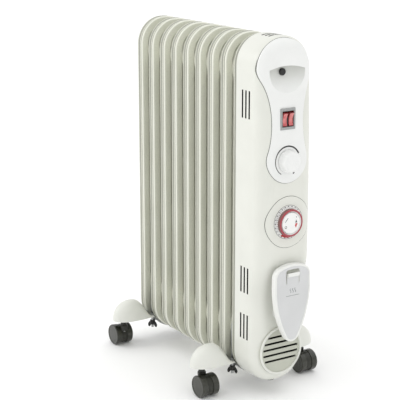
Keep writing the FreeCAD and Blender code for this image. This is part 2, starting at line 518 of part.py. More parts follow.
plate = Part.Face(hook_wire(hook_back))
hook = plate.extrude(V(hook_front - hook_back, 0, 0))
hollow = plate.makeOffset2D(-HOOK_WALL).extrude(V(hook_front - hook_back - HOOK_WALL, 0, 0))
hook = hook.cut(hollow)
wall_x = hook_front - HOOK_WALL
for y in (-TONGUE_HALF - TONGUE_SLOT, TONGUE_HALF):
    hook = hook.cut(box(wall_x - 1, hook_front + 1, y, y + TONGUE_SLOT, TONGUE_LOW_Z, TONGUE_HIGH_Z))
hook = hook.cut(box(wall_x - 1, hook_front + 1, -TONGUE_HALF - TONGUE_SLOT, TONGUE_HALF + TONGUE_SLOT,
                    TONGUE_HIGH_Z - 6, TONGUE_HIGH_Z))
lip = rod(LIP_PROUD, V(hook_front, -TONGUE_HALF, TONGUE_HIGH_Z - 6 - LIP_PROUD),
          V(hook_front, TONGUE_HALF, TONGUE_HIGH_Z - 6 - LIP_PROUD))
hook = hook.fuse(lip.common(box(wall_x, hook_front + 9, -99, 99, 0, 999)))
STEM_BASE = 6.0
stem = along_x(HOOK_STEM_R, FACE_LOW_X, wall_x + 1, 0, HOOK_STEM_Z)
stem = stem.fuse(along_x(HOOK_FLANGE_R, FACE_LOW_X, FACE_LOW_X + 2, 0, HOOK_STEM_Z))
stem = stem.cut(along_x(HOOK_STEM_R - HOOK_WALL, FACE_LOW_X + STEM_BASE, wall_x, 0, HOOK_STEM_Z))
hook = hook.fuse(stem)
for y in (-STEM_SCREW_Y, STEM_SCREW_Y):
    hook = hook.cut(along_x(SCREW_R, FACE_LOW_X - 1, FACE_LOW_X + STEM_BASE + 1, y, HOOK_STEM_Z))
save("cord_hook", hook)

GRILLE_PROUD, GRILLE_NECK = 3.0, 6.0
grille = along_x(GRILLE_R, FACE_LOW_X, FACE_LOW_X + GRILLE_PROUD, 0, GRILLE_Z)
grille = grille.makeFillet(2.0, [e for e in grille.Edges if e.BoundBox.XMin > FACE_LOW_X + 1])
grille = grille.cut(along_x(GRILLE_R - GRILLE_RIM, FACE_LOW_X + 1.5, FACE_LOW_X + 9, 0, GRILLE_Z))
grille = grille.fuse(ring_x(GRILLE_NECK_R, GRILLE_NECK_R - 1.5, FACE_LOW_X - GRILLE_NECK, FACE_LOW_X + 1,
                            0, GRILLE_Z))
for index in range(LOUVRE_COUNT):
    z = LOUVRE_TOP_Z - index * LOUVRE_PITCH
    reach = math.sqrt((GRILLE_R - GRILLE_RIM - 4) ** 2 - (z - GRILLE_Z) ** 2)
    grille = grille.cut(box(FACE_LOW_X - 1, FACE_LOW_X + 9, -reach, reach,
                            z - LOUVRE_HEIGHT / 2, z + LOUVRE_HEIGHT / 2))
save("vent_grille", grille)

cover_bottom = FIN_BOTTOM - COVER_GROW
GLAND_FLANGE, GLAND_FLANGE_R, GLAND_TOP = 2.5, 9.0, 40.0
gland = along_z(GLAND_R, cover_bottom - 1, GLAND_TOP, gland_x, 0)
gland = gland.fuse(along_z(GLAND_FLANGE_R, cover_bottom - GAP - GLAND_FLANGE, cover_bottom - GAP, gland_x, 0))
gland = gland.cut(along_z(GLAND_BORE_R, 0, 99, gland_x, 0))
save("cord_gland", gland)

# ---- things inside the cover --------------------------------------------------------------------------------
inside_x = SHIELD_X + SHIELD_THICK
TILT_Y, TILT_Z, TILT_HALF, TILT_PIN_OUT = 26.0, 200.0, 8.0, 20.0
EAR, PENDULUM_LENGTH, BOB_R = 2.0, 22.0, 6.0
tilt = box(inside_x, inside_x + 2, TILT_Y - TILT_HALF - EAR, TILT_Y + TILT_HALF + EAR, TILT_Z - 34, TILT_Z + 8)
for y in (TILT_Y - TILT_HALF - EAR, TILT_Y + TILT_HALF):
    tilt = tilt.fuse(box(inside_x, inside_x + TILT_PIN_OUT + 6, y, y + EAR, TILT_Z - 6, TILT_Z + 8))
pin_x = inside_x + TILT_PIN_OUT
PENDULUM_PIN_R = 1.5
tilt = tilt.cut(rod(PENDULUM_PIN_R + RUN, V(pin_x, 0, TILT_Z), V(pin_x, 50, TILT_Z)))
save("tilt_switch_bracket", tilt)
pin_reach = TILT_HALF + EAR - GAP
pendulum = rod(PENDULUM_PIN_R, V(pin_x, TILT_Y - pin_reach, TILT_Z), V(pin_x, TILT_Y + pin_reach, TILT_Z))
pendulum = pendulum.fuse(along_z(3.0, TILT_Z - PENDULUM_LENGTH, TILT_Z + 3, pin_x, TILT_Y))
pendulum = pendulum.fuse(Part.makeSphere(BOB_R, V(pin_x, TILT_Y, TILT_Z - PENDULUM_LENGTH)))
save("tilt_pendulum", pendulum)

BLOCK_Y, BLOCK_Z, BLOCK_HEIGHT, BLOCK_DEPTH = -25.0, 205.0, 18.0, 16.0
POLE_COUNT, POLE_PITCH, POLE_HOLE_R, WIRE_HOLE_R = 3, 13.0, 3.0, 2.0
block_half = POLE_COUNT * POLE_PITCH / 2
block = box(inside_x, inside_x + BLOCK_DEPTH, BLOCK_Y - block_half, BLOCK_Y + block_half,
            BLOCK_Z - BLOCK_HEIGHT / 2, BLOCK_Z + BLOCK_HEIGHT / 2)
for index in range(POLE_COUNT):
    y = BLOCK_Y + (index - (POLE_COUNT - 1) / 2) * POLE_PITCH
    block = block.cut(along_x(POLE_HOLE_R, inside_x + 6, inside_x + BLOCK_DEPTH + 1, y, BLOCK_Z))
    block = block.cut(along_z(WIRE_HOLE_R, BLOCK_Z - BLOCK_HEIGHT, BLOCK_Z + BLOCK_HEIGHT, inside_x + 9, y))
save("terminal_block", block)
CUTOUT_Y, CUTOUT_Z, CUTOUT_R, CUTOUT_THICK, TAB_GAP = -22.0, 168.0, 8.5, 9.0, 5.0
cutout = along_x(CUTOUT_R, inside_x, inside_x + CUTOUT_THICK, CUTOUT_Y, CUTOUT_Z)
for y in (CUTOUT_Y - TAB_GAP / 2, CUTOUT_Y + TAB_GAP / 2):
    cutout = cutout.fuse(box(inside_x + CUTOUT_THICK - 1, inside_x + CUTOUT_THICK + 7, y - 0.5, y + 0.5,
                             CUTOUT_Z - 3, CUTOUT_Z + 3))
save("thermal_cutout", cutout)

post_front = cap_x - CAP_STEM - 3.0
shield = shield.fuse(along_x(SHIELD_POST_R, inside_x, post_front - 12, CAP_Y, CAP_Z))
shield = shield.cut(along_x(SCREW_R, post_front - 30, post_front, CAP_Y, CAP_Z))
save("heat_shield", shield)


# ---- feet: bar, hoods, U-bolts, wing nuts ----------------------------------------------------------------
def underside(y, grow):
    """Height of the fins' rounded underside at y, moved outwards by grow."""
    across = max(0, y - (FIN_WIDTH / 2 - FIN_CORNER))
    return FIN_BOTTOM + FIN_CORNER - math.sqrt((FIN_CORNER + grow) ** 2 - across ** 2)


NUT_TOP_Z = underside(UBOLT_Y - NUT_R, GAP + BAR_THICK) - GAP      # the nut's inner edge meets the bar


def foot_bar(x):
    """A steel strap that cradles the fins' underside, with an arm and a stem sleeve at each end."""
    x0, x1 = x - BAR_WIDTH / 2, x + BAR_WIDTH / 2
    bar = slab(GAP + BAR_THICK, x0, x1).common(box(x0, x1, -99, 99, 0, ARM_Z + BAR_THICK))
    bar = bar.fuse(box(x0, x1, -ARM_END_Y, ARM_END_Y, ARM_Z, ARM_Z + BAR_THICK))
    bar = bar.cut(slab(GAP, x0 - 1, x1 + 1))
    for side in SIDES.values():
        bar = bar.fuse(along_z(SLEEVE_R, ARM_Z, SLEEVE_TOP, x, side * CASTER_Y))
    for side in SIDES.values():
        bar = bar.cut(along_z(STEM_R + RUN, 0, 99, x, side * CASTER_Y))
        bar = bar.cut(along_z(UBOLT_R + GAP, 0, 99, x, side * UBOLT_Y))
        bar = bar.cut(along_z(SCREW_R + GAP, 0, 99, x, side * HOOD_POST_Y))
    return bar


def hood_form(x, inset):
    """The hood's domed shape over +Y: an outline across the foot, rounded along X."""
    inner, outer, low, high = HOOD_IN_Y + inset, HOOD_OUT_Y - inset, HOOD_BOTTOM - 9, HOOD_TOP - inset
    crown_y = (inner + outer) / 2 + 2
    x0 = x - HOOD_HALF_X + inset
    toe, brow = V(x0, inner - 8, low), V(x0, inner + 11, high - 26)
    heel, shoulder = V(x0, outer, low), V(x0, outer, HOOD_BOTTOM + HOOD_HEEL)
    crown = V(x0, crown_y, high)
    wire = Part.Wire([
        Part.makeLine(toe, heel),
        Part.makeLine(heel, shoulder),
        Part.Arc(shoulder, V(x0, outer - 10.5, high - 9.5), crown).toShape(),
        Part.Arc(crown, V(x0, inner + 25, high - 9), brow).toShape(),
        Part.makeLine(brow, toe),
    ])
    form = prism(wire, V(2 * (HOOD_HALF_X - inset), 0, 0))
    edges = [e for e in form.Edges if e.BoundBox.XLength < 0.01 and e.BoundBox.ZMax > HOOD_BOTTOM]
    return form.makeFillet(HOOD_HALF_X - HOOD_FLAT - inset, edges)


def hood(x, side):
    """A hollow hood on one end of a foot bar, open below, with a post down to the arm."""
    floor = box(x - 99, x + 99, 0, 199, -99, HOOD_BOTTOM)
    shell = hood_form(x, 0).cut(hood_form(x, HOOD_WALL)).cut(floor)
    arm_half = BAR_WIDTH / 2 + GAP
    shell = shell.cut(box(x - arm_half, x + arm_half, 0, ARM_END_Y + GAP, ARM_Z - GAP, ARM_Z + BAR_THICK + GAP))
    post = along_z(HOOD_POST_R, ARM_Z + BAR_THICK, HOOD_TOP, x, HOOD_POST_Y).common(hood_form(x, 0.5))
    shell = shell.fuse(post).cut(slab(2 * GAP + BAR_THICK, x - 99, x + 99))
    shell = shell.cut(along_z(UBOLT_R + GAP, 0, 99, x, UBOLT_Y))
    shell = shell.cut(along_z(SCREW_R, 0, ARM_Z + 20, x, HOOD_POST_Y))
    return shell if side > 0 else shell.mirror(V(0, 0, 0), Y_AXIS)


def u_bolt(x):
    """A U-bolt over the low collector boss, its legs through the foot bar."""
    bolt = Part.makeTorus(UBOLT_Y, UBOLT_R, V(x, 0, BOSS_LOW_Z), X_AXIS)
    bolt = bolt.common(box(x - 9, x + 9, -99, 99, BOSS_LOW_Z, BOSS_LOW_Z + 99))
    for side in SIDES.values():
        bolt = bolt.fuse(along_z(UBOLT_R, UBOLT_END_Z, BOSS_LOW_Z, x, side * UBOLT_Y))
    return bolt


def wing_nut(x, y):
    """A wing nut with its wings hanging down."""
    nut = Part.makeCone(NUT_R - 1, NUT_R, NUT_HEIGHT, V(x, y, NUT_TOP_Z - NUT_HEIGHT))
    wing = polygon([V(x, y + 2, NUT_TOP_Z - 4), V(x, y + 2, NUT_TOP_Z - NUT_HEIGHT),
                    V(x, y + 8, NUT_TOP_Z - NUT_HEIGHT - 6), V(x, y + 12, NUT_TOP_Z - NUT_HEIGHT - 4),
                    V(x, y + 9, NUT_TOP_Z - NUT_HEIGHT + 3)])
    wing.translate(V(-1.25, 0, 0))
    first = prism(wing, V(2.5, 0, 0))
    for turn in (40, 220):
        leaf = first.copy()
        leaf.rotate(V(x, y, 0), Z_AXIS, turn)
        nut = nut.fuse(leaf)
    return nut.cut(along_z(UBOLT_R + RUN, 0, 99, x, y))


def screw(tip, head_end):
    """A pan-head screw from its tip to the top of its head."""
    length = head_end - tip
    head_start = head_end - length.normalize() * 2.2
    return rod(SCREW_R, tip, head_start).fuse(rod(SCREW_HEAD_R, head_start, head_end))


bolts, nuts, screws = [], [], []
for end, (x, trail) in FEET.items():
    save(f"foot_bar_{end}", foot_bar(x))
    bolts.append(u_bolt(x))
    for side_name, side in SIDES.items():
        save(f"hood_{end}_{side_name}", hood(x, side))
        nuts.append(wing_nut(x, side * UBOLT_Y))
        screws.append(screw(V(x, side * HOOD_POST_Y, ARM_Z + 17), V(x, side * HOOD_POST_Y, ARM_Z - 2.2)))
for y in (-STEM_SCREW_Y, STEM_SCREW_Y):
    screws.append(screw(V(FACE_LOW_X + STEM_BASE - 1, y, HOOK_STEM_Z),
                        V(FACE_LOW_X - COVER_WALL - 2.2, y, HOOK_STEM_Z)))
screws.append(screw(V(post_front - 28, CAP_Y, CAP_Z), V(cap_x - CAP_STEM, CAP_Y, CAP_Z)))
save("u_bolts", Part.Compound(bolts))
save("wing_nuts", Part.Compound(nuts))
save("screws", Part.Compound(screws))


# ---- casters ------------------------------------------------------------------------------------------------
CASTER_CAP_R, COLLAR_R = 7.5, 5.5
CASTER_CAP_LOW = 2 * WHEEL_R + 0.6
COLLAR_LOW = CASTER_CAP_LOW + 1.6
STEM_BOTTOM, FRAME_DISC_R, FRAME_LOW_Z = WHEEL_R + 8.0, WHEEL_R - 0.3, 4.0
HUB_BLIND = 1.5


def caster(x, y, trail):
    """Frame, pins and the two wheels of a twin-wheel caster whose stem stands at x, y."""
    axle_x = x + trail * CASTER_TRAIL
    disc = rod(FRAME_DISC_R, V(axle_x, y - WEB_Y, WHEEL_R), V(axle_x, y + WEB_Y, WHEEL_R))
    disc = disc.common(box(axle_x - 99, axle_x + 99, y - 99, y + 99, FRAME_LOW_Z, 99))
    neck_x = sorted((x - trail * WEB_Y, axle_x))
    neck = box(neck_x[0], neck_x[1], y - WEB_Y, y + WEB_Y, WHEEL_R, CASTER_CAP_LOW)
    frame = disc.fuse(neck.common(along_z(CASTER_TRAIL + WEB_Y, 0, 99, axle_x, y)))
    frame = frame.fuse(along_z(CASTER_CAP_R, CASTER_CAP_LOW, COLLAR_LOW, x, y))
    frame = frame.fuse(along_z(WEB_Y, STEM_BOTTOM - 4, COLLAR_LOW, x, y))
    frame = frame.cut(rod(AXLE_R + RUN, V(axle_x, y - 50, WHEEL_R), V(axle_x, y + 50, WHEEL_R)))
    frame = frame.cut(along_z(STEM_R + RUN, STEM_BOTTOM, 99, x, y))
    stem = along_z(STEM_R, STEM_BOTTOM, STEM_TOP, x, y).fuse(
        along_z(COLLAR_R, COLLAR_LOW, ARM_Z - GAP, x, y))
    wheel_in = WEB_Y + 0.4
    wheel_out = wheel_in + WHEEL_WIDTH
    reach = wheel_out - HUB_BLIND - GAP
    axle = rod(AXLE_R, V(axle_x, y - reach, WHEEL_R), V(axle_x, y + reach, WHEEL_R))
    wheels = []
    for side in (-1, 1):
        start, end = V(axle_x, y + side * wheel_in, WHEEL_R), V(axle_x, y + side * wheel_out, WHEEL_R)
        wheel = rod(WHEEL_R, start, end)
        wheel = wheel.makeFillet(WHEEL_ROUND, [e for e in wheel.Edges if e.BoundBox.YLength < 0.01])
        dish_start = V(axle_x, y + side * (wheel_out - 1.2), WHEEL_R)
        wheel = wheel.cut(rod(WHEEL_R - 5, dish_start, end).cut(rod(7.0, dish_start, end)))
        bore_end = V(axle_x, y + side * (wheel_out - HUB_BLIND), WHEEL_R)
        wheels.append(wheel.cut(rod(AXLE_R + RUN, V(axle_x, y, WHEEL_R), bore_end)))
    return frame, Part.Compound([stem, axle]), wheels


for end, (x, trail) in FEET.items():
    for side_name, side in SIDES.items():
        frame, pins, wheels = caster(x, side * CASTER_Y, trail)
        save(f"caster_frame_{end}_{side_name}", frame)
        save(f"caster_pins_{end}_{side_name}", pins)
        save(f"wheel_{end}_{side_name}_a", wheels[0])
        save(f"wheel_{end}_{side_name}_b", wheels[1])
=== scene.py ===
"""Oil filled radiator heater: its visible pieces, their finishes, and a plain studio around them.

Every piece is in metres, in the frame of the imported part.  +X runs along the row of fins towards the
controls, +Z is up, and Y = 0 is the middle of the fins.
"""

import json
import logging
import math
from dataclasses import dataclass
from enum import Enum
from typing import Any, Optional, Sequence

import bmesh
import bpy
import numpy as np
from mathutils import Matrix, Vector


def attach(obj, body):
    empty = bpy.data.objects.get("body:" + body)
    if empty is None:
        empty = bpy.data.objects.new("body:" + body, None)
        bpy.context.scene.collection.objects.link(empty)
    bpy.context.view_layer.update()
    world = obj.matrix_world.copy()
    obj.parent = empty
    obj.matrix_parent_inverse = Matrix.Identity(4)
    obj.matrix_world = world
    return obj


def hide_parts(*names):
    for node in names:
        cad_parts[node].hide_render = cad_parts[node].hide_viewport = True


LOG = logging.getLogger("heater")
MM = 0.001
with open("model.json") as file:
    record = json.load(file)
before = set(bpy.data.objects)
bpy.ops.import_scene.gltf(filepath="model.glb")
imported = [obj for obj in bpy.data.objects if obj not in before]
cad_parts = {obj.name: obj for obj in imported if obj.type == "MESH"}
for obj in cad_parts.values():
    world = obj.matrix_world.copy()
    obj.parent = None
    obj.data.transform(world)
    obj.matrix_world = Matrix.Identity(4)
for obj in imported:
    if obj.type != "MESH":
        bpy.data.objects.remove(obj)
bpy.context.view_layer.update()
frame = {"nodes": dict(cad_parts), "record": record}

# The finger pocket in the control panel is hollowed by a ball: its centre, its radius and the heights
# between which its painted shade grows, in metres.
POCKET_CENTRE = (0.24634, -0.003, 0.588)
POCKET_RADIUS = 0.06304
POCKET_LOW, POCKET_HIGH = 0.552, 0.594
# A place inside the control cover, just behind its end face, in metres.
INSIDE_COVER = (0.18, 0.0, 0.33)


# ---- colours, nodes and finishes -------------------------------------------------------------------
def linear(code: str) -> tuple[float, float, float, float]:
    """Turn an sRGB hex colour into the linear colour that shaders take.

    The sRGB curve in words: below 0.04045 a channel is divided by 12.92, above it a channel plus
    0.055 is divided by 1.055 and raised to the power 2.4.

    Args:
        code: Six hex digits, such as "F0F1F1".

    Returns:
        The linear red, green, blue and an alpha of 1.
    """
    channels = np.array([int(code[i:i + 2], 16) for i in (0, 2, 4)]) / 255
    values = np.where(channels <= 0.04045, channels / 12.92, ((channels + 0.055) / 1.055) ** 2.4)
    return (*(float(v) for v in values), 1.0)


def add(tree: bpy.types.NodeTree, kind: str, values: Optional[dict[Any, Any]] = None,
        links: Optional[dict[Any, Any]] = None, **settings: Any) -> bpy.types.Node:
    """Add one node to a tree.

    Args:
        tree: The node tree.
        kind: Blender's name of the node type.
        values: Numbers or colours for its input sockets, by name or number.
        links: Output sockets of other nodes that feed its inputs, by name or number.
        settings: Its properties.

    Returns:
        The new node.
    """
    node = tree.nodes.new(kind)
    for key, value in settings.items():
        setattr(node, key, value)
    for key, value in (values or {}).items():
        node.inputs[key].default_value = value
    for key, source in (links or {}).items():
        tree.links.new(source, node.inputs[key])
    return node


class Grain(Enum):
    """The way a surface was made, which sets the shape of its fine relief."""

    ORANGE_PEEL = "baked enamel, which flows into shallow rounded pits"
    SPARK_ERODED = "plastic from a tool with an even eroded texture"
    POLISHED = "plastic from a polished tool"
    ROLLED = "rolled sheet or wire, with faint lines"


@dataclass(frozen=True)
class Finish:
    """One material: what it is made of, how its surface was made, and what that gives the eye.

    Lengths are in millimetres.
    """

    name: str
    colour: str
    shade: str
    grain: Grain
    grain_mm: float = 1.2
    relief_mm: float = 0.02
    cloud_mm: float = 60.0
    roughness: tuple[float, float] = (0.3, 0.4)
    ior: float = 1.5
    metallic: float = 0.0
    coat: float = 0.0
    # Painted shade: the colour of faces that look into the piece.
    inside_painted_shade: Optional[str] = None
    # Painted shade: the colour that greys the finger pocket.
    pocket: Optional[str] = None

    def material(self) -> bpy.types.Material:
        """Return the finish as a Blender material, made the first time it is asked for."""
        known = bpy.data.materials.get(self.name)
        if known:
            return known
        material = bpy.data.materials.new(self.name)
        material.use_nodes = True
        tree = material.node_tree
        tree.nodes.clear()
        place = add(tree, "ShaderNodeTexCoord").outputs["Object"]
        stretch = (0.06, 1, 1) if self.grain is Grain.ROLLED else (1, 1, 1)
        mapped = add(tree, "ShaderNodeMapping", {"Scale": stretch}, {"Vector": place}).outputs["Vector"]

        # Slow cloudy change of tone, as thickness of paint or flow of plastic gives; on the rockers the pink
        # clouds are painted highlights.
        cloud = add(tree, "ShaderNodeTexNoise", {"Scale": 1 / (self.cloud_mm * MM), "Detail": 3.0},
                    {"Vector": place}).outputs["Fac"]
        tone = add(tree, "ShaderNodeMapRange",
                   {"From Min": 0.3, "From Max": 0.7}, {"Value": cloud}).outputs["Result"]
        mix = add(tree, "ShaderNodeMix", {6: linear(self.colour), 7: linear(self.shade)},
                  {0: tone}, data_type="RGBA")

        colour = mix.outputs[2]
        # Painted shade, where the finish asks for it: inside the piece, and in the finger pocket.
        if self.inside_painted_shade:
            colour = self.darken_inside(tree, colour)
        if self.pocket:
            colour = self.shade_pocket(tree, colour)

        # Fine relief of the surface itself.
        if self.grain is Grain.ORANGE_PEEL:
            relief = add(tree, "ShaderNodeTexVoronoi", {"Scale": 1 / (self.grain_mm * MM), "Smoothness": 1.0},
                         {"Vector": place}, feature="SMOOTH_F1").outputs["Distance"]
        else:
            relief = add(tree, "ShaderNodeTexNoise", {"Scale": 1 / (self.grain_mm * MM), "Detail": 2.0},
                         {"Vector": mapped}).outputs["Fac"]
        bump = add(tree, "ShaderNodeBump", {"Strength": 1.0, "Distance": self.relief_mm * MM},
                   {"Height": relief}).outputs["Normal"]
        rough = add(tree, "ShaderNodeMapRange",
                    {"From Min": 0.25, "From Max": 0.75, "To Min": self.roughness[0],
                     "To Max": self.roughness[1]}, {"Value": relief}).outputs["Result"]

        shader = add(tree, "ShaderNodeBsdfPrincipled",
                     {"IOR": self.ior, "Metallic": self.metallic, "Coat Weight": self.coat,
                      "Coat Roughness": 0.08},
                     {"Base Color": colour, "Roughness": rough, "Normal": bump})
        add(tree, "ShaderNodeOutputMaterial", links={"Surface": shader.outputs["BSDF"]})
        return material

    def darken_inside(self, tree: bpy.types.NodeTree, colour: bpy.types.NodeSocket) -> bpy.types.NodeSocket:
        """Colour the faces that look inwards near black, as painted shade inside the piece.

        A face looks inwards where it points towards a place inside the cover and not away from it:
        where its direction times its place, about that place, is below zero.  The walls of the vent
        slots that look forwards count as inside too.

        Args:
            tree: The material's nodes.
            colour: The outside colour.

        Returns:
            The colour of both sides.
        """
        place = add(tree, "ShaderNodeTexCoord").outputs["Object"]
        away = add(tree, "ShaderNodeVectorMath", {1: INSIDE_COVER}, {0: place}, operation="SUBTRACT")
        turn = add(tree, "ShaderNodeNewGeometry").outputs["True Normal"]
        facing = add(tree, "ShaderNodeVectorMath", links={0: away.outputs[0], 1: turn},
                     operation="DOT_PRODUCT").outputs["Value"]
        inside = add(tree, "ShaderNodeMath", {1: 0.0}, {0: facing}, operation="LESS_THAN").outputs[0]
        mix = add(tree, "ShaderNodeMix", {7: linear(self.inside_painted_shade)}, {0: inside, 6: colour}, data_type="RGBA")
        return mix.outputs[2]

    def shade_pocket(self, tree: bpy.types.NodeTree, colour: bpy.types.NodeSocket) -> bpy.types.NodeSocket:
        """Grey the finger pocket with painted shade, most of all up under the lid.

        The pocket is part of a ball, so its faces are those at the ball's radius from the ball's
        centre that also look at the centre, and the grey grows evenly with height.

        Args:
            tree: The material's nodes.
            colour: The colour of the rest.

        Returns:
            The colour of both.
        """
        place = add(tree, "ShaderNodeTexCoord").outputs["Object"]
        slack, straight_back, least, most = 0.0004, -0.98, 0.06, 0.6
        away = add(tree, "ShaderNodeVectorMath", {1: POCKET_CENTRE}, {0: place},
                   operation="SUBTRACT").outputs[0]
        reach = add(tree, "ShaderNodeVectorMath", links={0: away}, operation="LENGTH").outputs["Value"]
        on_ball = add(tree, "ShaderNodeMath", {1: POCKET_RADIUS, 2: slack}, {0: reach},
                      operation="COMPARE").outputs[0]
        way = add(tree, "ShaderNodeVectorMath", links={0: away}, operation="NORMALIZE").outputs[0]
        turn = add(tree, "ShaderNodeNewGeometry").outputs["True Normal"]
        facing = add(tree, "ShaderNodeVectorMath", links={0: way, 1: turn},
                     operation="DOT_PRODUCT").outputs["Value"]
        inside_painted_shade = add(tree, "ShaderNodeMath", {1: straight_back}, {0: facing},
                     operation="LESS_THAN").outputs[0]
        height = add(tree, "ShaderNodeSeparateXYZ", links={"Vector": place}).outputs["Z"]
        amount = add(tree, "ShaderNodeMapRange",
                     {"From Min": POCKET_LOW, "From Max": POCKET_HIGH, "To Min": least, "To Max": most},
                     {"Value": height}, interpolation_type="SMOOTHSTEP").outputs["Result"]
        for share in (inside_painted_shade, on_ball):
            amount = add(tree, "ShaderNodeMath", links={0: amount, 1: share},
                         operation="MULTIPLY").outputs[0]
        mix = add(tree, "ShaderNodeMix", {7: linear(self.pocket)}, {0: amount, 6: colour},
                  data_type="RGBA")
        return mix.outputs[2]


# Baked enamel on pressed steel: a hard, even film with a soft gloss and faint orange peel.
FIN_ENAMEL = Finish("baked_enamel_fins", "DADBCE", "D4D5C7", Grain.ORANGE_PEEL, 2.2, 0.035,
                    roughness=(0.26, 0.36))
# Painted shade: the folded seam of a rim is coloured greyer than the ridges, for the shade in its valley.
SEAM_SHADE_ENAMEL = Finish("baked_enamel_seam_painted_shade", "A3A499", "9A9B8F", Grain.ORANGE_PEEL, 2.2, 0.035,
                     roughness=(0.34, 0.46))
# Painted highlight: the folded edge is coloured brighter and glossier than the rest of the fin.
FOLD_HIGHLIGHT_ENAMEL = Finish("baked_enamel_fold_painted_highlight", "F1F2E7", "ECEDE1", Grain.ORANGE_PEEL, 2.2, 0.02,
                     roughness=(0.20, 0.28))
# Painted shade: faces that look into the cover, the vent slots' walls among them, are coloured near black.
COVER_ENAMEL = Finish("baked_enamel_cover", "E0E1D9", "DBDCD4", Grain.ORANGE_PEEL, 2.2, 0.03,
                      roughness=(0.28, 0.38), inside_painted_shade="0B0B0B")
# ABS from a fine tool: cooler white, even, with a satin gloss; its finger pocket is greyed with painted
# shade.
PANEL_ABS = Finish("moulded_abs_panel", "EBECEA", "E6E7E5", Grain.SPARK_ERODED, 0.7, 0.012,
                   roughness=(0.30, 0.38), pocket="A9ABA2")
KNOB_ABS = Finish("moulded_abs_knob", "EDEEEC", "E8E9E7", Grain.SPARK_ERODED, 0.6, 0.008,
                  roughness=(0.24, 0.32))
HOOD_PP = Finish("moulded_polypropylene_hood", "E2E3DC", "DCDDD6", Grain.SPARK_ERODED, 0.9, 0.02,
                 roughness=(0.34, 0.44))
HOOK_PP = Finish("moulded_polypropylene_hook", "E9EAE6", "E4E5E1", Grain.SPARK_ERODED, 0.9, 0.02,
                 roughness=(0.34, 0.44))
# The hook's sunk face is coloured greyer than its rim, with a coarser grain.
HOOK_FACE_PP = Finish("etched_polypropylene_hook_face", "D4D5D5", "CDCECE", Grain.SPARK_ERODED, 1.2, 0.05,
                      roughness=(0.48, 0.60))
BEZEL_ABS = Finish("moulded_abs_bezel", "A3A5A4", "9A9C9B", Grain.SPARK_ERODED, 0.8, 0.015,
                   roughness=(0.38, 0.46))
BLACK_PP = Finish("moulded_polypropylene_black", "121212", "1A1A1A", Grain.SPARK_ERODED, 0.8, 0.02,
                  roughness=(0.30, 0.42))
NUT_NYLON = Finish("moulded_nylon_nut", "171715", "20201D", Grain.SPARK_ERODED, 0.9, 0.03,
                   roughness=(0.40, 0.52))
CASTER_NYLON = Finish("moulded_nylon_caster", "1D1E15", "26271D", Grain.SPARK_ERODED, 0.9, 0.02,
                      roughness=(0.30, 0.42))
WHEEL_NYLON = Finish("moulded_nylon_wheel", "22231A", "2C2D22", Grain.SPARK_ERODED, 0.9, 0.02,
                     roughness=(0.24, 0.34), coat=0.3)
# Tinted polycarbonate: a hard gloss over a cloudy red, whose pink clouds are painted highlights.
ROCKER_HIGHLIGHT_PC = Finish("tinted_polycarbonate_rocker_painted_highlight", "E08482", "B02C33", Grain.POLISHED, 3.0, 0.01,
                   cloud_mm=9.0, roughness=(0.10, 0.16), ior=1.58, coat=0.4)
# Painted shade: the rockers' edges, sides and ends are a darker red.
ROCKER_EDGE_SHADE_PC = Finish("tinted_polycarbonate_rocker_edge_painted_shade", "8A2024", "701A1E", Grain.POLISHED, 3.0, 0.01,
                        roughness=(0.12, 0.2), ior=1.58, coat=0.3)
# The vent grille is coloured greyer than the cover round it, so it reads darker.
GRILLE_PP = Finish("moulded_polypropylene_grille", "BFC1B4", "B8BAAD", Grain.SPARK_ERODED, 0.9, 0.02,
                   roughness=(0.4, 0.5))
# Painted shadow: dark strips laid in the gaps round the panel, the timer plate and the dial.
SHADOW_GAP_STRIP = Finish("painted_shadow_gap_strip", "6C6E68", "5F615B", Grain.SPARK_ERODED, 0.7, 0.03, roughness=(0.7, 0.85))
# Sheet inside the cover: galvanised steel, coloured near black as painted shade.
SHIELD_SHADE_STEEL = Finish("galvanised_sheet_painted_shade", "2B2A28", "343330", Grain.ROLLED, 2.0, 0.02,
                      roughness=(0.55, 0.7), metallic=0.6)
TIMER_RED_ABS = Finish("moulded_abs_timer_red", "A8424C", "983A44", Grain.POLISHED, 1.5, 0.01,
                       roughness=(0.24, 0.32))
# Painted shade: the red ring's outer wall, where the tappets stand, is coloured a dull darker red.
TIMER_WALL_SHADE_ABS = Finish("moulded_abs_timer_red_wall_painted_shade", "83605C", "775550", Grain.SPARK_ERODED, 0.8, 0.02,
                        roughness=(0.45, 0.55))
TIMER_WHITE_ABS = Finish("moulded_abs_timer_white", "F0F0EE", "E9E9E7", Grain.SPARK_ERODED, 0.6, 0.008,
                         roughness=(0.28, 0.36))
# Pad-printed inks: thin, even and satin.
BLACK_INK, GREY_INK, RED_INK = (
    Finish(f"pad_print_ink_{name}", colour, shade, Grain.POLISHED, 2.0, 0.004, roughness=(0.4, 0.5))
    for name, colour, shade in (("black", "1C1C1C", "242424"), ("grey", "6E7274", "777B7D"),
                                ("red", "C3202A", "B61C26")))
GASKET = Finish("nitrile_rubber_gasket", "1D1D1C", "252523", Grain.SPARK_ERODED, 0.8, 0.03,
                roughness=(0.55, 0.7))
# Zinc plate on steel: grey metal with faint drawn lines.
PLATED_STEEL = Finish("zinc_plated_steel", "B9BBBB", "A7A9A9", Grain.ROLLED, 0.5, 0.01,
                      roughness=(0.24, 0.36), metallic=1.0)
ELEMENT_STEEL = Finish("annealed_stainless_steel", "9B958B", "87827A", Grain.ROLLED, 0.6, 0.01,
                       roughness=(0.32, 0.46), metallic=1.0)

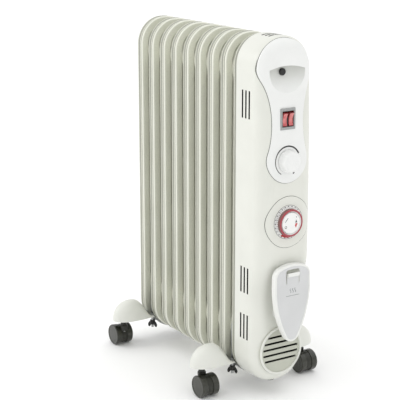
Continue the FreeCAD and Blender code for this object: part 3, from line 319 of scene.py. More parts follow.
SLOT_FINISHES: dict[str, Finish] = {
    "fin_enamel": FIN_ENAMEL, "cover_enamel": COVER_ENAMEL, "hood_plastic": HOOD_PP,
    "panel_plastic": PANEL_ABS, "knob_plastic": KNOB_ABS, "hook_plastic": HOOK_PP,
    "black_plastic": BLACK_PP, "bezel_plastic": BEZEL_ABS, "red_rocker": ROCKER_HIGHLIGHT_PC,
    "timer_red": TIMER_RED_ABS, "timer_white": TIMER_WHITE_ABS, "wheel_plastic": WHEEL_NYLON,
    "caster_plastic": CASTER_NYLON, "nut_plastic": NUT_NYLON, "gasket_rubber": GASKET,
    "element_steel": ELEMENT_STEEL, "plated_steel": PLATED_STEEL,
}

NODE_FINISHES: dict[str, Finish] = {"heat_shield": SHIELD_SHADE_STEEL, "vent_grille": GRILLE_PP}


# ---- surfaces worked out with numpy ----------------------------------------------------------------
@dataclass
class Surface:
    """Skins of one piece: points in metres, four-cornered faces, and a finish number for each face."""

    points: np.ndarray
    faces: np.ndarray
    marks: np.ndarray

    def __add__(self, other: "Surface") -> "Surface":
        """Put two surfaces in one."""
        return Surface(np.vstack((self.points, other.points)),
                       np.vstack((self.faces, other.faces + len(self.points))),
                       np.concatenate((self.marks, other.marks)))

    def moved(self, x: float = 0.0, y: float = 0.0, z: float = 0.0) -> "Surface":
        """Return the surface moved by a step in metres."""
        return Surface(self.points + np.array((x, y, z)), self.faces, self.marks)

    def flipped_y(self) -> "Surface":
        """Return its mirror image across Y = 0, with its faces turned back outwards."""
        return Surface(self.points * np.array((1, -1, 1)), self.faces[:, ::-1], self.marks)

    def marked(self, mark: int) -> "Surface":
        """Return the surface with every face given one finish number."""
        return Surface(self.points, self.faces, np.full(len(self.faces), mark))


def grid(points: np.ndarray, wrap_u: bool = False, wrap_v: bool = False, mark: int = 0) -> Surface:
    """Skin a two-way table of points.

    Face (i, j) joins points (i, j), (i + 1, j), (i + 1, j + 1) and (i, j + 1), counted round where
    the table wraps.

    Args:
        points: An array of shape (rows, columns, 3), in metres.
        wrap_u: Whether the last row joins the first.
        wrap_v: Whether the last column joins the first.
        mark: The finish number of the faces.

    Returns:
        The surface.
    """
    rows, columns = points.shape[:2]
    u, v = np.meshgrid(np.arange(rows - (not wrap_u)), np.arange(columns - (not wrap_v)), indexing="ij")
    u, v = u.ravel(), v.ravel()
    u2, v2 = (u + 1) % rows, (v + 1) % columns
    faces = np.stack((u * columns + v, u2 * columns + v, u2 * columns + v2, u * columns + v2), axis=1)
    return Surface(points.reshape(-1, 3), faces, np.full(len(faces), mark))


def joined(surfaces: Sequence[Surface]) -> Surface:
    """Put any number of surfaces in one."""
    return sum(surfaces[1:], surfaces[0])


def capped(loops: np.ndarray, mark: int = 0) -> Surface:
    """Skin a row of loops and close its two ends, each at the mean of its loop.

    Args:
        loops: An array of shape (loops, points, 3), in millimetres.
        mark: The finish number of the faces.

    Returns:
        The closed surface.
    """
    ends = [np.broadcast_to(loops[i].mean(axis=0), (1, *loops.shape[1:])) for i in (0, -1)]
    return grid(np.concatenate((ends[0], loops, ends[1])) * MM, wrap_v=True, mark=mark)


def rounded(corners: Sequence[Sequence[float]], steps: int = 5, closed: bool = False) -> np.ndarray:
    """Round the corners of a flat line.

    Each corner is replaced by a curve that leaves the two runs at its rounding length and bends
    between them as a quadratic Bezier curve with the corner as its middle point.

    Args:
        corners: Rows of (a, b, rounding length).
        steps: Points on each rounded corner, less one.
        closed: Whether the last corner joins the first.

    Returns:
        An array of shape (points, 2).
    """
    data = np.array(corners, float)
    places, lengths = data[:, :2], data[:, 2]
    before, after = np.roll(places, 1, axis=0) - places, np.roll(places, -1, axis=0) - places
    start = places + before / np.maximum(np.linalg.norm(before, axis=1), 1e-9)[:, None] * lengths[:, None]
    end = places + after / np.maximum(np.linalg.norm(after, axis=1), 1e-9)[:, None] * lengths[:, None]
    t = np.linspace(0, 1, steps + 1)[None, :, None]
    curve = (1 - t) ** 2 * start[:, None] + 2 * t * (1 - t) * places[:, None] + t ** 2 * end[:, None]
    sharp = lengths < 1e-9
    if not closed:
        sharp[[0, -1]] = True
    rows = [places[i:i + 1] if sharp[i] else curve[i] for i in range(len(places))]
    return np.vstack(rows)


def turned(profile: np.ndarray, centre: Sequence[float], axis: str = "x", steps: int = 64,
           mark: int = 0) -> Surface:
    """Turn a profile round an axis.

    A point at radius r and height h comes to centre + h along the axis + r across it, at evenly
    spaced angles.

    Args:
        profile: Rows of (radius, height) in millimetres.
        centre: A point on the axis, in millimetres.
        axis: "x", "y" or "z".
        steps: Points round the axis.
        mark: The finish number.

    Returns:
        The surface, closed round the axis.
    """
    angle = np.linspace(0, 2 * math.pi, steps, endpoint=False)[:, None]
    across, up = profile[None, :, 0] * np.cos(angle), profile[None, :, 0] * np.sin(angle)
    along = np.broadcast_to(profile[None, :, 1], across.shape)
    order = {"x": (along, across, up), "y": (up, along, across), "z": (across, up, along)}[axis]
    return grid((np.stack(order, axis=-1) + np.array(centre)) * MM, wrap_u=True, mark=mark)


def make_piece(name: str, surface: Surface, finishes: Sequence[Finish], body: str,
               stands_for: Sequence[str] = (), crease_degrees: float = 32.0) -> None:
    """Make one visible piece from a surface.

    Points closer than a thousandth of a millimetre are welded, which closes seams and poles, and
    closed skins have their faces turned outwards.

    Args:
        name: The piece's name.
        surface: Its skins.
        finishes: Its finishes, in the order of the surface's finish numbers.
        body: The CAD body it rides on.
        stands_for: The CAD nodes that it replaces.
        crease_degrees: Edges sharper than this stay crisp.
    """
    mesh = bpy.data.meshes.new(name)
    mesh.from_pydata(surface.points, [], surface.faces)
    mesh.polygons.foreach_set("material_index", surface.marks.astype(np.int32))
    for finish in finishes:
        mesh.materials.append(finish.material())
    work = bmesh.new()
    work.from_mesh(mesh)
    bmesh.ops.remove_doubles(work, verts=work.verts, dist=1e-6)
    bmesh.ops.recalc_face_normals(work, faces=work.faces)
    work.to_mesh(mesh)
    work.free()
    mesh.shade_smooth()
    mesh.set_sharp_from_angle(angle=math.radians(crease_degrees))
    piece = bpy.data.objects.new(name, mesh)
    bpy.context.scene.collection.objects.link(piece)
    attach(piece, body)
    if stands_for:
        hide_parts(*stands_for)
    LOG.info("%s: %d points, %d faces, on %s", name, len(mesh.vertices), len(mesh.polygons), body)


# A print stands a little more proud than ink does, so that it shows apart from its face.
PRINT_SINK, PRINT_RISE = 0.05, 0.06


def ribbon(path: np.ndarray, widths: np.ndarray, back: Any, front: Any) -> Surface:
    """Lay a flat closed strip along a line drawn on a face that looks along +X.

    The strip's edges lie half its width to each side of the line, along the line's normal, and its
    two ends are closed at their middles.

    Args:
        path: Rows of (y, z) in millimetres.
        widths: The width at each row.
        back: X of its back: a number, one for each row, or a function of places (y, z).
        front: X of its front, likewise.

    Returns:
        The closed surface.
    """
    run = np.gradient(path, axis=0)
    normal = np.stack((-run[:, 1], run[:, 0]), axis=1)
    normal /= np.maximum(np.linalg.norm(normal, axis=1), 1e-9)[:, None]
    left, right = path + normal * widths[:, None] / 2, path - normal * widths[:, None] / 2
    rows = np.stack([np.column_stack((np.broadcast_to(x(side) if callable(x) else x, len(path)), side))
                     for x, side in ((back, left), (front, left), (front, right), (back, right))], axis=1)
    return capped(rows)


def print_line(path: np.ndarray, widths: Any, face: Any) -> Surface:
    """Print a line of ink: a strip that is sunk into a face by PRINT_SINK and stands PRINT_RISE over it.

    Args:
        path: Rows of (y, z) in millimetres.
        widths: The line's width, or one for each row.
        face: X of the face, or one for each row.

    Returns:
        The closed surface.
    """
    return ribbon(path, np.broadcast_to(widths, len(path)), face - PRINT_SINK, face + PRINT_RISE)


def clock_places(middle: tuple[float, float], radius: Any, angle: Any) -> np.ndarray:
    """Places (y, z) round a middle, by angles in radians that are counted from straight up."""
    return np.column_stack((middle[0] + radius * np.sin(angle), middle[1] + radius * np.cos(angle)))


def bar(path: np.ndarray, section: np.ndarray, across: Sequence[float] = (0, 1, 0)) -> Surface:
    """Carry a closed section along a line and close both ends.

    A section point (a, b) comes to the line's point + a times the across direction + b times the
    direction square to both the line and the across direction.

    Args:
        path: Rows of (x, y, z) in millimetres.
        section: Rows of (a, b) in millimetres, or one such table for each row of the path.
        across: A direction square to the whole line.

    Returns:
        The closed surface.
    """
    run = np.gradient(path, axis=0)
    run /= np.linalg.norm(run, axis=1)[:, None]
    side = np.broadcast_to(np.asarray(across, float), run.shape)
    up = np.cross(run, side)
    table = np.broadcast_to(section, (len(path), *section.shape[-2:]))
    rows = path[:, None] + table[..., :1] * side[:, None] + table[..., 1:] * up[:, None]
    return capped(rows)


def bend(points: Sequence[Sequence[float]], count: int = 24) -> np.ndarray:
    """Run a Bezier curve through its control points: each place is the mix of them by Bernstein weights.

    Args:
        points: The control points, of two or three numbers each.
        count: How many places to work out.

    Returns:
        An array of shape (count, 2 or 3).
    """
    control = np.array(points, float)
    degree = len(control) - 1
    t = np.linspace(0, 1, count)[:, None]
    order = np.arange(degree + 1)
    weights = np.array([math.comb(degree, k) for k in order]) * t ** order * (1 - t) ** (degree - order)
    return weights @ control


def smooth_step(value: np.ndarray, low: float, high: float) -> np.ndarray:
    """Rise from 0 at low to 1 at high, level at both: 3 t squared less 2 t cubed."""
    t = np.clip((value - low) / (high - low), 0, 1)
    return t * t * (3 - 2 * t)


# ---- the fins --------------------------------------------------------------------------------------
@dataclass
class FinBank:
    """Nine pressed fins with folded rims, oil channels, spot-welded webs and collector bosses."""

    count: int = 9
    first_x: float = -210.0
    pitch: float = 41.0
    width: float = 106.0
    bottom: float = 28.0
    top: float = 640.0
    corner: float = 50.0
    rim_half: float = 8.5
    rim_depth: float = 13.5
    rim_valley: float = 3.0
    ridge_half: float = 6.2
    seam_half: float = 5.2
    fold_drop: float = 1.6
    sheet: float = 1.2
    channel_inset: float = 16.0
    channel_half: float = 5.5
    web_half: float = 12.0
    web_z: tuple[float, float] = (200.0, 490.0)
    dent_pitch: float = 42.0
    dent_depth: float = 0.5
    boss_radius: float = 40.0
    boss_z: tuple[float, float] = (112.0, 578.0)

    @property
    def corner_centres(self) -> tuple[float, float, float]:
        """How far the corners' centres stand from the middle line, and their two heights."""
        return self.width / 2 - self.corner, self.bottom + self.corner, self.top - self.corner

    def outline(self) -> tuple[np.ndarray, np.ndarray]:
        """Work out the fin's rounded outline.

        Points lie at the corner radius from the corner centres, with straight runs between, and a
        normal points away from its corner centre.

        Returns:
            Places (y, z) in millimetres, and unit normals, going once round.
        """
        reach_y, low, high = self.corner_centres
        angle = np.linspace(0, math.pi / 2, 13)
        places, normals = [], []
        run = np.linspace(0, 1, 42)[1:-1, None]
        for quarter, y, z in ((0, reach_y, high), (1, -reach_y, high), (2, -reach_y, low), (3, reach_y, low)):
            way = angle + quarter * math.pi / 2
            normal = np.column_stack((np.cos(way), np.sin(way)))
            places.append(np.array((y, z)) + self.corner * normal)
            normals.append(normal)
            if quarter in (1, 3):
                end = np.array((math.copysign(self.width / 2, y), low if quarter == 1 else high))
                places.append(places[-1][-1] * (1 - run) + end * run)
                normals.append(np.broadcast_to(normal[-1], (len(run), 2)))
        return np.vstack(places), np.vstack(normals)

    def rim(self) -> Surface:
        """Carry the folded rim's section round the outline, moved along its normals.

        The two half rims meet at a seam in the middle, so the section has a ridge on each side of a
        shallow valley.  The ridge on the +X side is the fold that closes the rim.  The seam has
        finish 1, greyer as painted shade, and the fold finish 2, brighter as a painted highlight.
        """
        half, depth, valley, ridge = self.rim_half, self.rim_depth, self.rim_valley, self.ridge_half
        inner, under = half - self.sheet, -self.sheet - valley
        section = rounded([
            (-half, -depth, 0.4), (-half, -0.8, 2.2), (-ridge, 0.4, 1.3), (0, -valley, 3.4),
            (ridge, 0.4, 1.3), (half, -0.8, 2.2), (half, -depth, 0.4), (inner, -depth, 0.4),
            (inner, under, 1.5), (-inner, under, 1.5), (-inner, -depth, 0.4)], 6, closed=True)
        places, normals = self.outline()
        yz = places[:, None] + normals[:, None] * section[None, :, 1:]
        x = np.broadcast_to(section[None, :, :1], (*yz.shape[:2], 1))
        surface = grid(np.concatenate((x, yz), axis=-1) * MM, wrap_u=True, wrap_v=True)
        middle = (section + np.roll(section, -1, axis=0)) / 2
        seam_painted_shade = (np.abs(middle[:, 0]) < self.seam_half) & (middle[:, 1] > -valley - 0.2)
        fold_painted_highlight = (middle[:, 0] >= self.seam_half) & (middle[:, 1] > -self.fold_drop)
        surface.marks[:] = np.tile(seam_painted_shade + 2 * fold_painted_highlight, len(places))
        return surface

    def face_height(self, y: np.ndarray, z: np.ndarray) -> np.ndarray:
        """Height of a fin's face over its middle plane.

        The face is flat sheet near the rim, rises to the oil channels by a smooth step of the
        distance in from the outline, falls back to the sheet over the web, and has round weld dents
        along the web, each a bell curve of the distance from its middle.
        """
        reach_y, low, high = self.corner_centres
        over = np.hypot(np.maximum(np.abs(y) - reach_y, 0), np.maximum(np.maximum(z - high, low - z), 0))
        inset = self.corner - over
        rise = smooth_step(inset, self.channel_inset - 0.5, self.channel_inset + 4)
        inside = np.minimum(self.web_half - np.abs(y), np.minimum(z - self.web_z[0], self.web_z[1] - z))
        web = smooth_step(inside, -3.0, 2.0)
        nearest = np.round(z / self.dent_pitch) * self.dent_pitch
        bell = np.exp(-((y / 4) ** 2 + ((z - nearest) / 4) ** 2))
        dent = self.dent_depth * bell * smooth_step(inside, 4.0, 8.0)
        return self.sheet + (self.channel_half - self.sheet) * rise * (1 - web) - dent

    def plates(self) -> Surface:
        """Skin both faces from just inside the rim to the middle line, and join them at the rim.

        Each row of places is the outline moved inwards by one step.  Past the corner radius it is
        squeezed evenly onto the middle line.  The steps are small where the sheet bends.
        """
        places, normals = self.outline()
        steps = np.concatenate((np.linspace(1, 15, 3), np.linspace(16, 20.5, 7), np.linspace(23, 37, 4),
                                np.linspace(38.5, 45, 7), [48, 50, 51.5, 53]))
        yz = places[:, None] - normals[:, None] * np.minimum(steps, self.corner)[None, :, None]
        yz[..., 0] *= np.clip((self.width / 2 - steps) / self.corner_centres[0], 0, 1)
        height = self.face_height(yz[..., 0], yz[..., 1])[..., None]
        front, back = np.concatenate((height, yz), axis=-1), np.concatenate((-height, yz), axis=-1)
        return grid(np.concatenate((back[:, ::-1], front), axis=1) * MM, wrap_u=True)

    def boss(self, z: float, reach: float, side: int) -> Surface:
        """Turn one collector boss: a flared foot on the face, a straight side and a flat end."""
        radius, flare, foot = self.boss_radius, self.boss_radius + 2.6, 4.6
        profile = rounded([(flare, foot, 0), (radius, foot + 1.4, 1.2), (radius, reach, 2.2),
                           (0, reach, 0), (0, foot, 0), (flare, foot, 0)], 5)
        profile[:, 1] *= side
        return turned(profile, (0, 0, z), "x", 60)

    def build(self) -> None:
        """Build the nine fins."""
        shared = self.rim() + self.plates()
        for index in range(self.count):
            ends = ((-1, index == 0), (1, index == self.count - 1))
            bosses = [self.boss(z, self.rim_half - 0.4 if last else self.pitch / 2, side)
                      for z in self.boss_z for side, last in ends]
            surface = joined([shared, *bosses]).moved(x=(self.first_x + index * self.pitch) * MM)
            make_piece(f"pressed_fin_{index + 1}", surface, [FIN_ENAMEL, SEAM_SHADE_ENAMEL, FOLD_HIGHLIGHT_ENAMEL], "root",
                       [f"fin_{index + 1}"], crease_degrees=40)


# ---- feet ------------------------------------------------------------------------------------------
@dataclass
class Feet:
    """Four domed hoods over the casters, the wing nuts under the foot bars, and the casters' places."""

    places_x: tuple[float, float] = (97.5, -189.5)
    bottom: float = 52.5
    crown: float = 38.0
    heel_y: float = 131.0
    crown_y: float = 92.0
    toe_y: float = 50.6
    half_x: float = 23.0
    toe_half_x: float = 21.0
    wall: float = 2.0
    nut_y: float = 43.0
    nut_top: float = 38.6
    nut_height: float = 9.0
    nut_bore: float = 2.55
    stem_y: float = 109.0
    trail: float = 13.0

    def hood(self) -> Surface:
        """Skin one hood over +Y.

        A spine runs from the heel over the crown down to the toe, as two Bezier curves.  At each of
        its points an arch spans the foot: across is half-width times the sine of an angle, and up is
        the spine's height times the cosine to the power 0.8, so the arch is full at its shoulders.
        The inner skin is the same arch, drawn in by the wall, and the two are joined at the edges.

        Returns:
            The closed surface.
        """
        back = bend([(self.heel_y, 0), (self.heel_y, 20), (self.heel_y - 12, self.crown),
                     (self.crown_y, self.crown)], 22)
        front = bend([(self.crown_y, self.crown), (self.crown_y - 17, self.crown), (self.toe_y + 17, 26),
                      (self.toe_y + 11, 1), (self.toe_y, 1.5)], 22)[1:]
        spine = np.vstack((back, front))
        y, height = spine[:, 0], spine[:, 1]
        ahead = np.clip((y - self.crown_y) / (self.heel_y - self.crown_y), 0, 1)
        behind = np.clip((self.crown_y - y) / (self.crown_y - self.toe_y), 0, 1)
        half = self.half_x * np.sqrt(1 - ahead ** 2.2) - (self.half_x - self.toe_half_x) * behind ** 2
        angle = np.linspace(-math.pi / 2, math.pi / 2, 33)[None, :]

        def arch(width: np.ndarray, rise: np.ndarray, along: np.ndarray) -> np.ndarray:
            """One skin: rows along the spine, columns over the arch."""
            across = np.maximum(width, 0)[:, None] * np.sin(angle)
            up = np.maximum(rise, 0)[:, None] * np.cos(angle).clip(0) ** 0.8
            return np.stack((across, np.broadcast_to(along[:, None], across.shape), self.bottom + up),
                            axis=-1)

        outer = arch(half, height, y)
        pull = 1 - self.wall / (self.heel_y - self.crown_y)
        inner = arch(half - self.wall, height - self.wall, self.crown_y + (y - self.crown_y) * pull)
        rows = np.concatenate((outer, inner[:, ::-1]), axis=1)
        last = np.concatenate((outer[-1], outer[-1, ::-1]))[None]
        return grid(np.concatenate((rows, last)) * MM, wrap_v=True)

    def wing_nut(self, x: float, y: float, turn: float) -> Surface:
        """Make one moulded wing nut: a round hub and two flat wings that hang steeply down.

        Args:
            x: Where the bolt is.
            y: Where the bolt is.
            turn: The wings' direction, in degrees.

        Returns:
            The closed surfaces, in metres.
        """
        count = 14
        corners = [(self.nut_bore, 0, 0), (5.2, 0, 0.6), (4.4, -self.nut_height, 0.8),
                   (self.nut_bore, -self.nut_height, 0)]
        pieces = [turned(rounded(corners, 3), (x, y, self.nut_top), "z", 28)]
        side = np.array((math.cos(math.radians(turn)), math.sin(math.radians(turn)), 0))
        across = (-side[1], side[0], 0)
        line = bend([(2.4, -3.5), (4.8, -4.0), (6.6, -8.5), (7.6, -14.2)], count)
        share = np.linspace(0, 1, count)
        tall = 2.6 + 0.6 * smooth_step(share, 0.2, 0.7) - 1.8 * smooth_step(share, 0.8, 1.0)
        ring = np.linspace(0, 2 * math.pi, count, endpoint=False)
        section = np.stack((np.broadcast_to(1.2 * np.cos(ring), (count, count)),
                            tall[:, None] * np.sin(ring)), axis=-1)
        for sign in (-1, 1):
            reach = sign * side * line[:, :1] + np.array((0, 0, 1)) * line[:, 1:]
            pieces.append(bar(np.array((x, y, self.nut_top)) + reach, section, across))
        return joined(pieces)

    def build(self) -> None:
        """Build the hoods and the wing nuts."""
        hood = self.hood()
        nuts = []
        for end, x in zip(("front", "rear"), self.places_x):
            for side, sign in (("left", -1), ("right", 1)):
                surface = (hood if sign > 0 else hood.flipped_y()).moved(x=x * MM)
                make_piece(f"foot_hood_{end}_{side}", surface, [HOOD_PP], "root",
                           [f"hood_{end}_{side}"], crease_degrees=50)
                nuts.append(self.wing_nut(x, sign * self.nut_y, 85 if sign > 0 else 35))
        make_piece("moulded_wing_nuts", joined(nuts), [NUT_NYLON], "root", ["wing_nuts"])


# ---- casters ---------------------------------------------------------------------------------------
@dataclass
class Caster:
    """One twin-wheel caster: a barrel housing with a stem collar, and two wheels."""

    end: str
    side: str
    stem_x: float
    stem_y: float
    trail: float
    radius: float = 20.0
    width: float = 12.0
    half_web: float = 5.2
    clearance: float = 0.4
    bore: float = 3.05
    barrel_radius: float = 18.4
    barrel_bore: float = 3.1
    cut_z: float = 4.0

    @property
    def axle(self) -> tuple[float, float, float]:
        """The middle of the axle, in millimetres."""
        return self.stem_x + self.trail, self.stem_y, self.radius

    def wheel(self, sign: int) -> Surface:
        """Turn one wheel: a smooth tread, a raised outer edge and a shallow dished disc."""
        r, bore, inner = self.radius, self.bore, self.half_web + self.clearance
        outer = inner + self.width
        profile = rounded([
            (bore, inner, 0), (r - 2, inner, 0), (r - 0.9, inner, 0.35), (r - 0.7, inner + 0.8, 0.4),
            (r, outer - 1.2, 1.0), (r - 1.2, outer, 0.5), (r - 2.6, outer, 0.3), (r - 3.1, outer - 0.8, 0.3),
            (8, outer - 0.5, 4), (0, outer - 0.5, 0), (0, outer - 1.5, 0), (bore, outer - 1.5, 0),
            (bore, inner, 0)], 4)
        profile[:, 1] *= sign
        return turned(profile, self.axle, "y", 72)

    def housing(self) -> Surface:
        """Make the barrel between the wheels, and the collar of the stem.

        The barrel's outline is a circle cut off flat near the floor: the height of each point of the
        circle is never less than the cut.  The sides have softly broken edges, as shares of the
        radius, and are closed towards the axle.
        """
        angle = np.linspace(0, 2 * math.pi, 96, endpoint=False)[:, None]
        r, half, hole = self.barrel_radius, self.half_web, self.barrel_bore / self.barrel_radius
        x, z = r * np.sin(angle), np.maximum(r * np.cos(angle), self.cut_z - self.radius)
        shares = np.array((hole, 0.97, 0.995, 1.0, 1.0, 1.0, 0.995, 0.97, hole))
        across = np.array((-half, -half, 0.35 - half, 1.0 - half, 0.0, half - 1.0, half - 0.35, half, half))
        y = np.broadcast_to(across, (len(angle), len(across)))
        barrel = grid((np.stack((x * shares, y, z * shares), axis=-1) + np.array(self.axle)) * MM,
                      wrap_u=True, wrap_v=True)
        neck = turned(rounded([(0, 30, 0), (7.4, 30, 0), (7.6, 41.4, 0.8), (5.8, 42.2, 0.4), (5.5, 53.6, 0.4),
                               (0, 53.6, 0)], 4), (self.stem_x, self.stem_y, 0), "z", 40)
        return barrel + neck

    def build(self) -> None:
        """Build the housing and the wheels."""
        place = f"{self.end}_{self.side}"
        make_piece(f"caster_housing_{place}", self.housing(), [CASTER_NYLON], f"caster_{place}",
                   [f"caster_frame_{place}"])
        for letter, sign in (("a", -1), ("b", 1)):
            make_piece(f"caster_wheel_{place}_{letter}", self.wheel(sign), [WHEEL_NYLON],
                       f"wheel_{place}_{letter}", [f"wheel_{place}_{letter}"])


# ---- cord hook and controls ------------------------------------------------------------------------
LAST_FIN_X = FinBank.first_x + (FinBank.count - 1) * FinBank.pitch
# The cover's end face is a wide arc, furthest out at FACE_MIDDLE_Z, with a rounded edge all round.
FACE_REACH, FACE_ARC, FACE_MIDDLE_Z, FACE_EDGE = 82.5, 5200.0, 330.0, 24.0
# The centres about which the cover's top corners are rounded, and their radius.
COVER_CORNER_Y, COVER_CORNER_Z, COVER_CORNER = 3.0, 590.0, 51.8
# The panel and its controls stand a little to one side; its face lies a little over the cover's.
PANEL_Y, PANEL_RISE = -3.0, 1.2
TIMER_Z = 326.0


def face_x(z: Any) -> Any:
    """X of the cover's end face at a height: its furthest X less the sagitta of a wide arc, in mm."""
    away = np.asarray(z, float) - FACE_MIDDLE_Z
    return LAST_FIN_X + FACE_REACH - (FACE_ARC - np.sqrt(FACE_ARC ** 2 - away ** 2))


def cover_skin_x(place: np.ndarray) -> np.ndarray:
    """X of the cover's skin at places (y, z), its rounded edge included.

    The distance in from the cover's outline is the corner's radius less the distance to the nearest
    corner centre; nearer than the edge's rounding, the skin falls as a circle does.
    """
    over = np.hypot(np.maximum(np.abs(place[:, 0]) - COVER_CORNER_Y, 0),
                    np.maximum(place[:, 1] - COVER_CORNER_Z, 0))
    inset = np.clip(COVER_CORNER - over, 0, FACE_EDGE)
    return face_x(place[:, 1]) - FACE_EDGE + np.sqrt(FACE_EDGE ** 2 - (FACE_EDGE - inset) ** 2)


def arc_through(first: Sequence[float], middle: Sequence[float], last: Sequence[float],
                count: int) -> np.ndarray:
    """Run a circular arc through three flat points.

    The circle's centre is as far from all three points, which gives two straight equations; the
    angle then goes evenly from the first point to the last by way of the middle one.

    Args:
        first: Where it starts.
        middle: A point on the way.
        last: Where it ends.
        count: How many places to work out.

    Returns:
        An array of shape (count, 2).
    """
    a, b, c = (np.array(p, float) for p in (first, middle, last))
    centre = np.linalg.solve(2 * np.array((b - a, c - a)), np.array((b @ b - a @ a, c @ c - a @ a)))
    angles = np.unwrap([math.atan2(*(p - centre)[::-1]) for p in (a, b, c)])
    angle = np.linspace(angles[0], angles[2], count)
    return centre + np.linalg.norm(a - centre) * np.column_stack((np.cos(angle), np.sin(angle)))


@dataclass
class CordHook:
    """The pear-shaped hook that the lead is wound on, with its snap tongue and its stem."""

    stem_z: float = 163.0
    back_x: float = 207.6
    front_x: float = 219.0
    wall: float = 2.5
    sink: float = 0.9
    rim: float = 3.4
    window_half_y: float = 14.2
    window_z: tuple[float, float] = (220.0, 246.0)
    tongue_half: float = 12.0
    etched_below_z: float = 232.5
    seat_x: float = 184.0
    stem_radius: float = 14.0

    def outline(self, inset: float) -> np.ndarray:
        """Draw the pear outline from four arcs a side, moved inwards along its normals.

        Args:
            inset: How far to move it in, in millimetres.

        Returns:
            Places (y, z), going once round.
        """
        top, shoulder, corner, wide = (0, 92), (28, 86), (35, 79), (37.5, 65)
        flank, low, tip = (31.5, 5), (12.5, -42), (0, -48.5)
        half = np.vstack((arc_through((-28, 86), top, shoulder, 21)[10:-1],
                          arc_through(shoulder, corner, wide, 11)[:-1],
                          arc_through(wide, flank, low, 30)[:-1],
                          arc_through(low, tip, (-12.5, -42), 21)[:11]))
        line = np.vstack((half, half[-2:0:-1] * (-1, 1)))
        run = np.roll(line, -1, axis=0) - np.roll(line, 1, axis=0)
        inward = np.column_stack((run[:, 1], -run[:, 0])) / np.linalg.norm(run, axis=1)[:, None]
        return line + inward * inset + (0, self.stem_z)

    def window(self) -> np.ndarray:
        """Draw the opening round the tongue, with one place for each place of the outline.

        Seen from the opening's middle, each place lies in the same direction as its partner, at the
        radius of a superellipse: |y / half| to the 8th plus |z / half| to the 8th is 1.
        """
        middle = np.array((0.0, sum(self.window_z) / 2))
        away = self.outline(0) - middle
        away /= np.linalg.norm(away, axis=1)[:, None]
        halves = np.array((self.window_half_y, (self.window_z[1] - self.window_z[0]) / 2))
        return middle + away / ((np.abs(away / halves) ** 8).sum(axis=1) ** 0.125)[:, None]

    def shell(self) -> Surface:
        """Skin the rimmed plate: over the edge, round the rim, across the face and through the window."""
        rows, marks = [], []

        def loop(x: float, yz: np.ndarray, mark: int = 0) -> None:
            """Add one loop of places and the finish of the strip before it."""
            rows.append(np.column_stack((np.full(len(yz), x), yz)))
            marks.append(mark)

        front, wall = self.front_x, self.wall
        for inset, x in ((wall, self.back_x), (0.3, self.back_x), (0, self.back_x + 0.5), (0, front - 2.4),
                         (0.2, front - 1.3), (0.8, front - 0.45), (1.6, front - 0.05), (2.4, front),
                         (self.rim, front - 0.25), (self.rim + 0.4, front - self.sink)):
            loop(x, self.outline(inset))
        edge, window = self.outline(self.rim + 0.6), self.window()
        for share in (0, 0.3, 0.6, 0.85, 0.97):
            loop(front - self.sink, edge + (window - edge) * share, 1)
        loop(front - self.sink - 0.4, window, 1)
        inner = self.outline(wall)
        for share in (0, 0.4, 0.8):
            loop(front - wall, window + (inner - window) * share)
        loop(front - wall, inner)
        surface = grid(np.stack(rows) * MM, wrap_u=True, wrap_v=True)
        surface.marks[:] = np.repeat(np.roll(marks, -1), len(rows[0]))
        return surface

    def tongue(self) -> Surface:
        """Bend the snap tongue: up through the window, then a lip that curls out and down."""
        path = bend([(217.2, 0, 216), (217.2, 0, 224), (216.6, 0, 234), (217.6, 0, 243.5), (222.0, 0, 243.5),
                     (221.8, 0, 235.5), (220.0, 0, 234)], 30)
        half = self.tongue_half
        section = rounded([(-half, -1, 0.5), (half, -1, 0.5), (half, 1, 0.5), (-half, 1, 0.5)], 2,
                          closed=True)
        thin = np.linspace(1, 0.6, len(path))[:, None, None] * np.array((0, 1)) + np.array((1, 0))
        surface = bar(path, section * thin)
        surface.marks[:] = surface.points[surface.faces].mean(axis=1)[:, 2] < self.etched_below_z * MM
        return surface

    def stem(self) -> Surface:
        """Turn the stem with its flange on the cover."""
        r, flange, length = self.stem_radius, 18.0, 33.0
        return turned(rounded([(0, 0, 0), (flange, 0, 0.2), (flange, 2, 0.8), (r + 0.4, 2.2, 0.8), (r, 5, 1),
                               (r, length, 0), (0, length, 0)], 4), (self.seat_x, 0, self.stem_z), "x", 48)

    def warm_air_mark(self) -> Surface:
        """Print three wavy lines for warm air, each a sine of the height, over a thin rule."""
        face, low, wave = self.front_x - self.sink, 204.0, 8.0
        z = np.linspace(low, low + wave, 20)
        sway = 1.2 * np.sin((z - low) * 2 * math.pi / wave)
        rule = np.column_stack((np.linspace(-14, 14, 12), np.full(12, low - 5)))
        waves = [print_line(np.column_stack((y + sway, z)), 1.0, face) for y in (-5, 0, 5)]
        return joined([print_line(rule, 0.7, face), *waves])

    def build(self) -> None:
        """Build the hook and its mark."""
        surface = self.shell() + self.tongue() + self.stem()
        make_piece("cord_hook_moulding", surface, [HOOK_PP, HOOK_FACE_PP], "root",
                   ["cord_hook"], crease_degrees=38)
        make_piece("warm_air_mark", self.warm_air_mark(), [GREY_INK], "root")


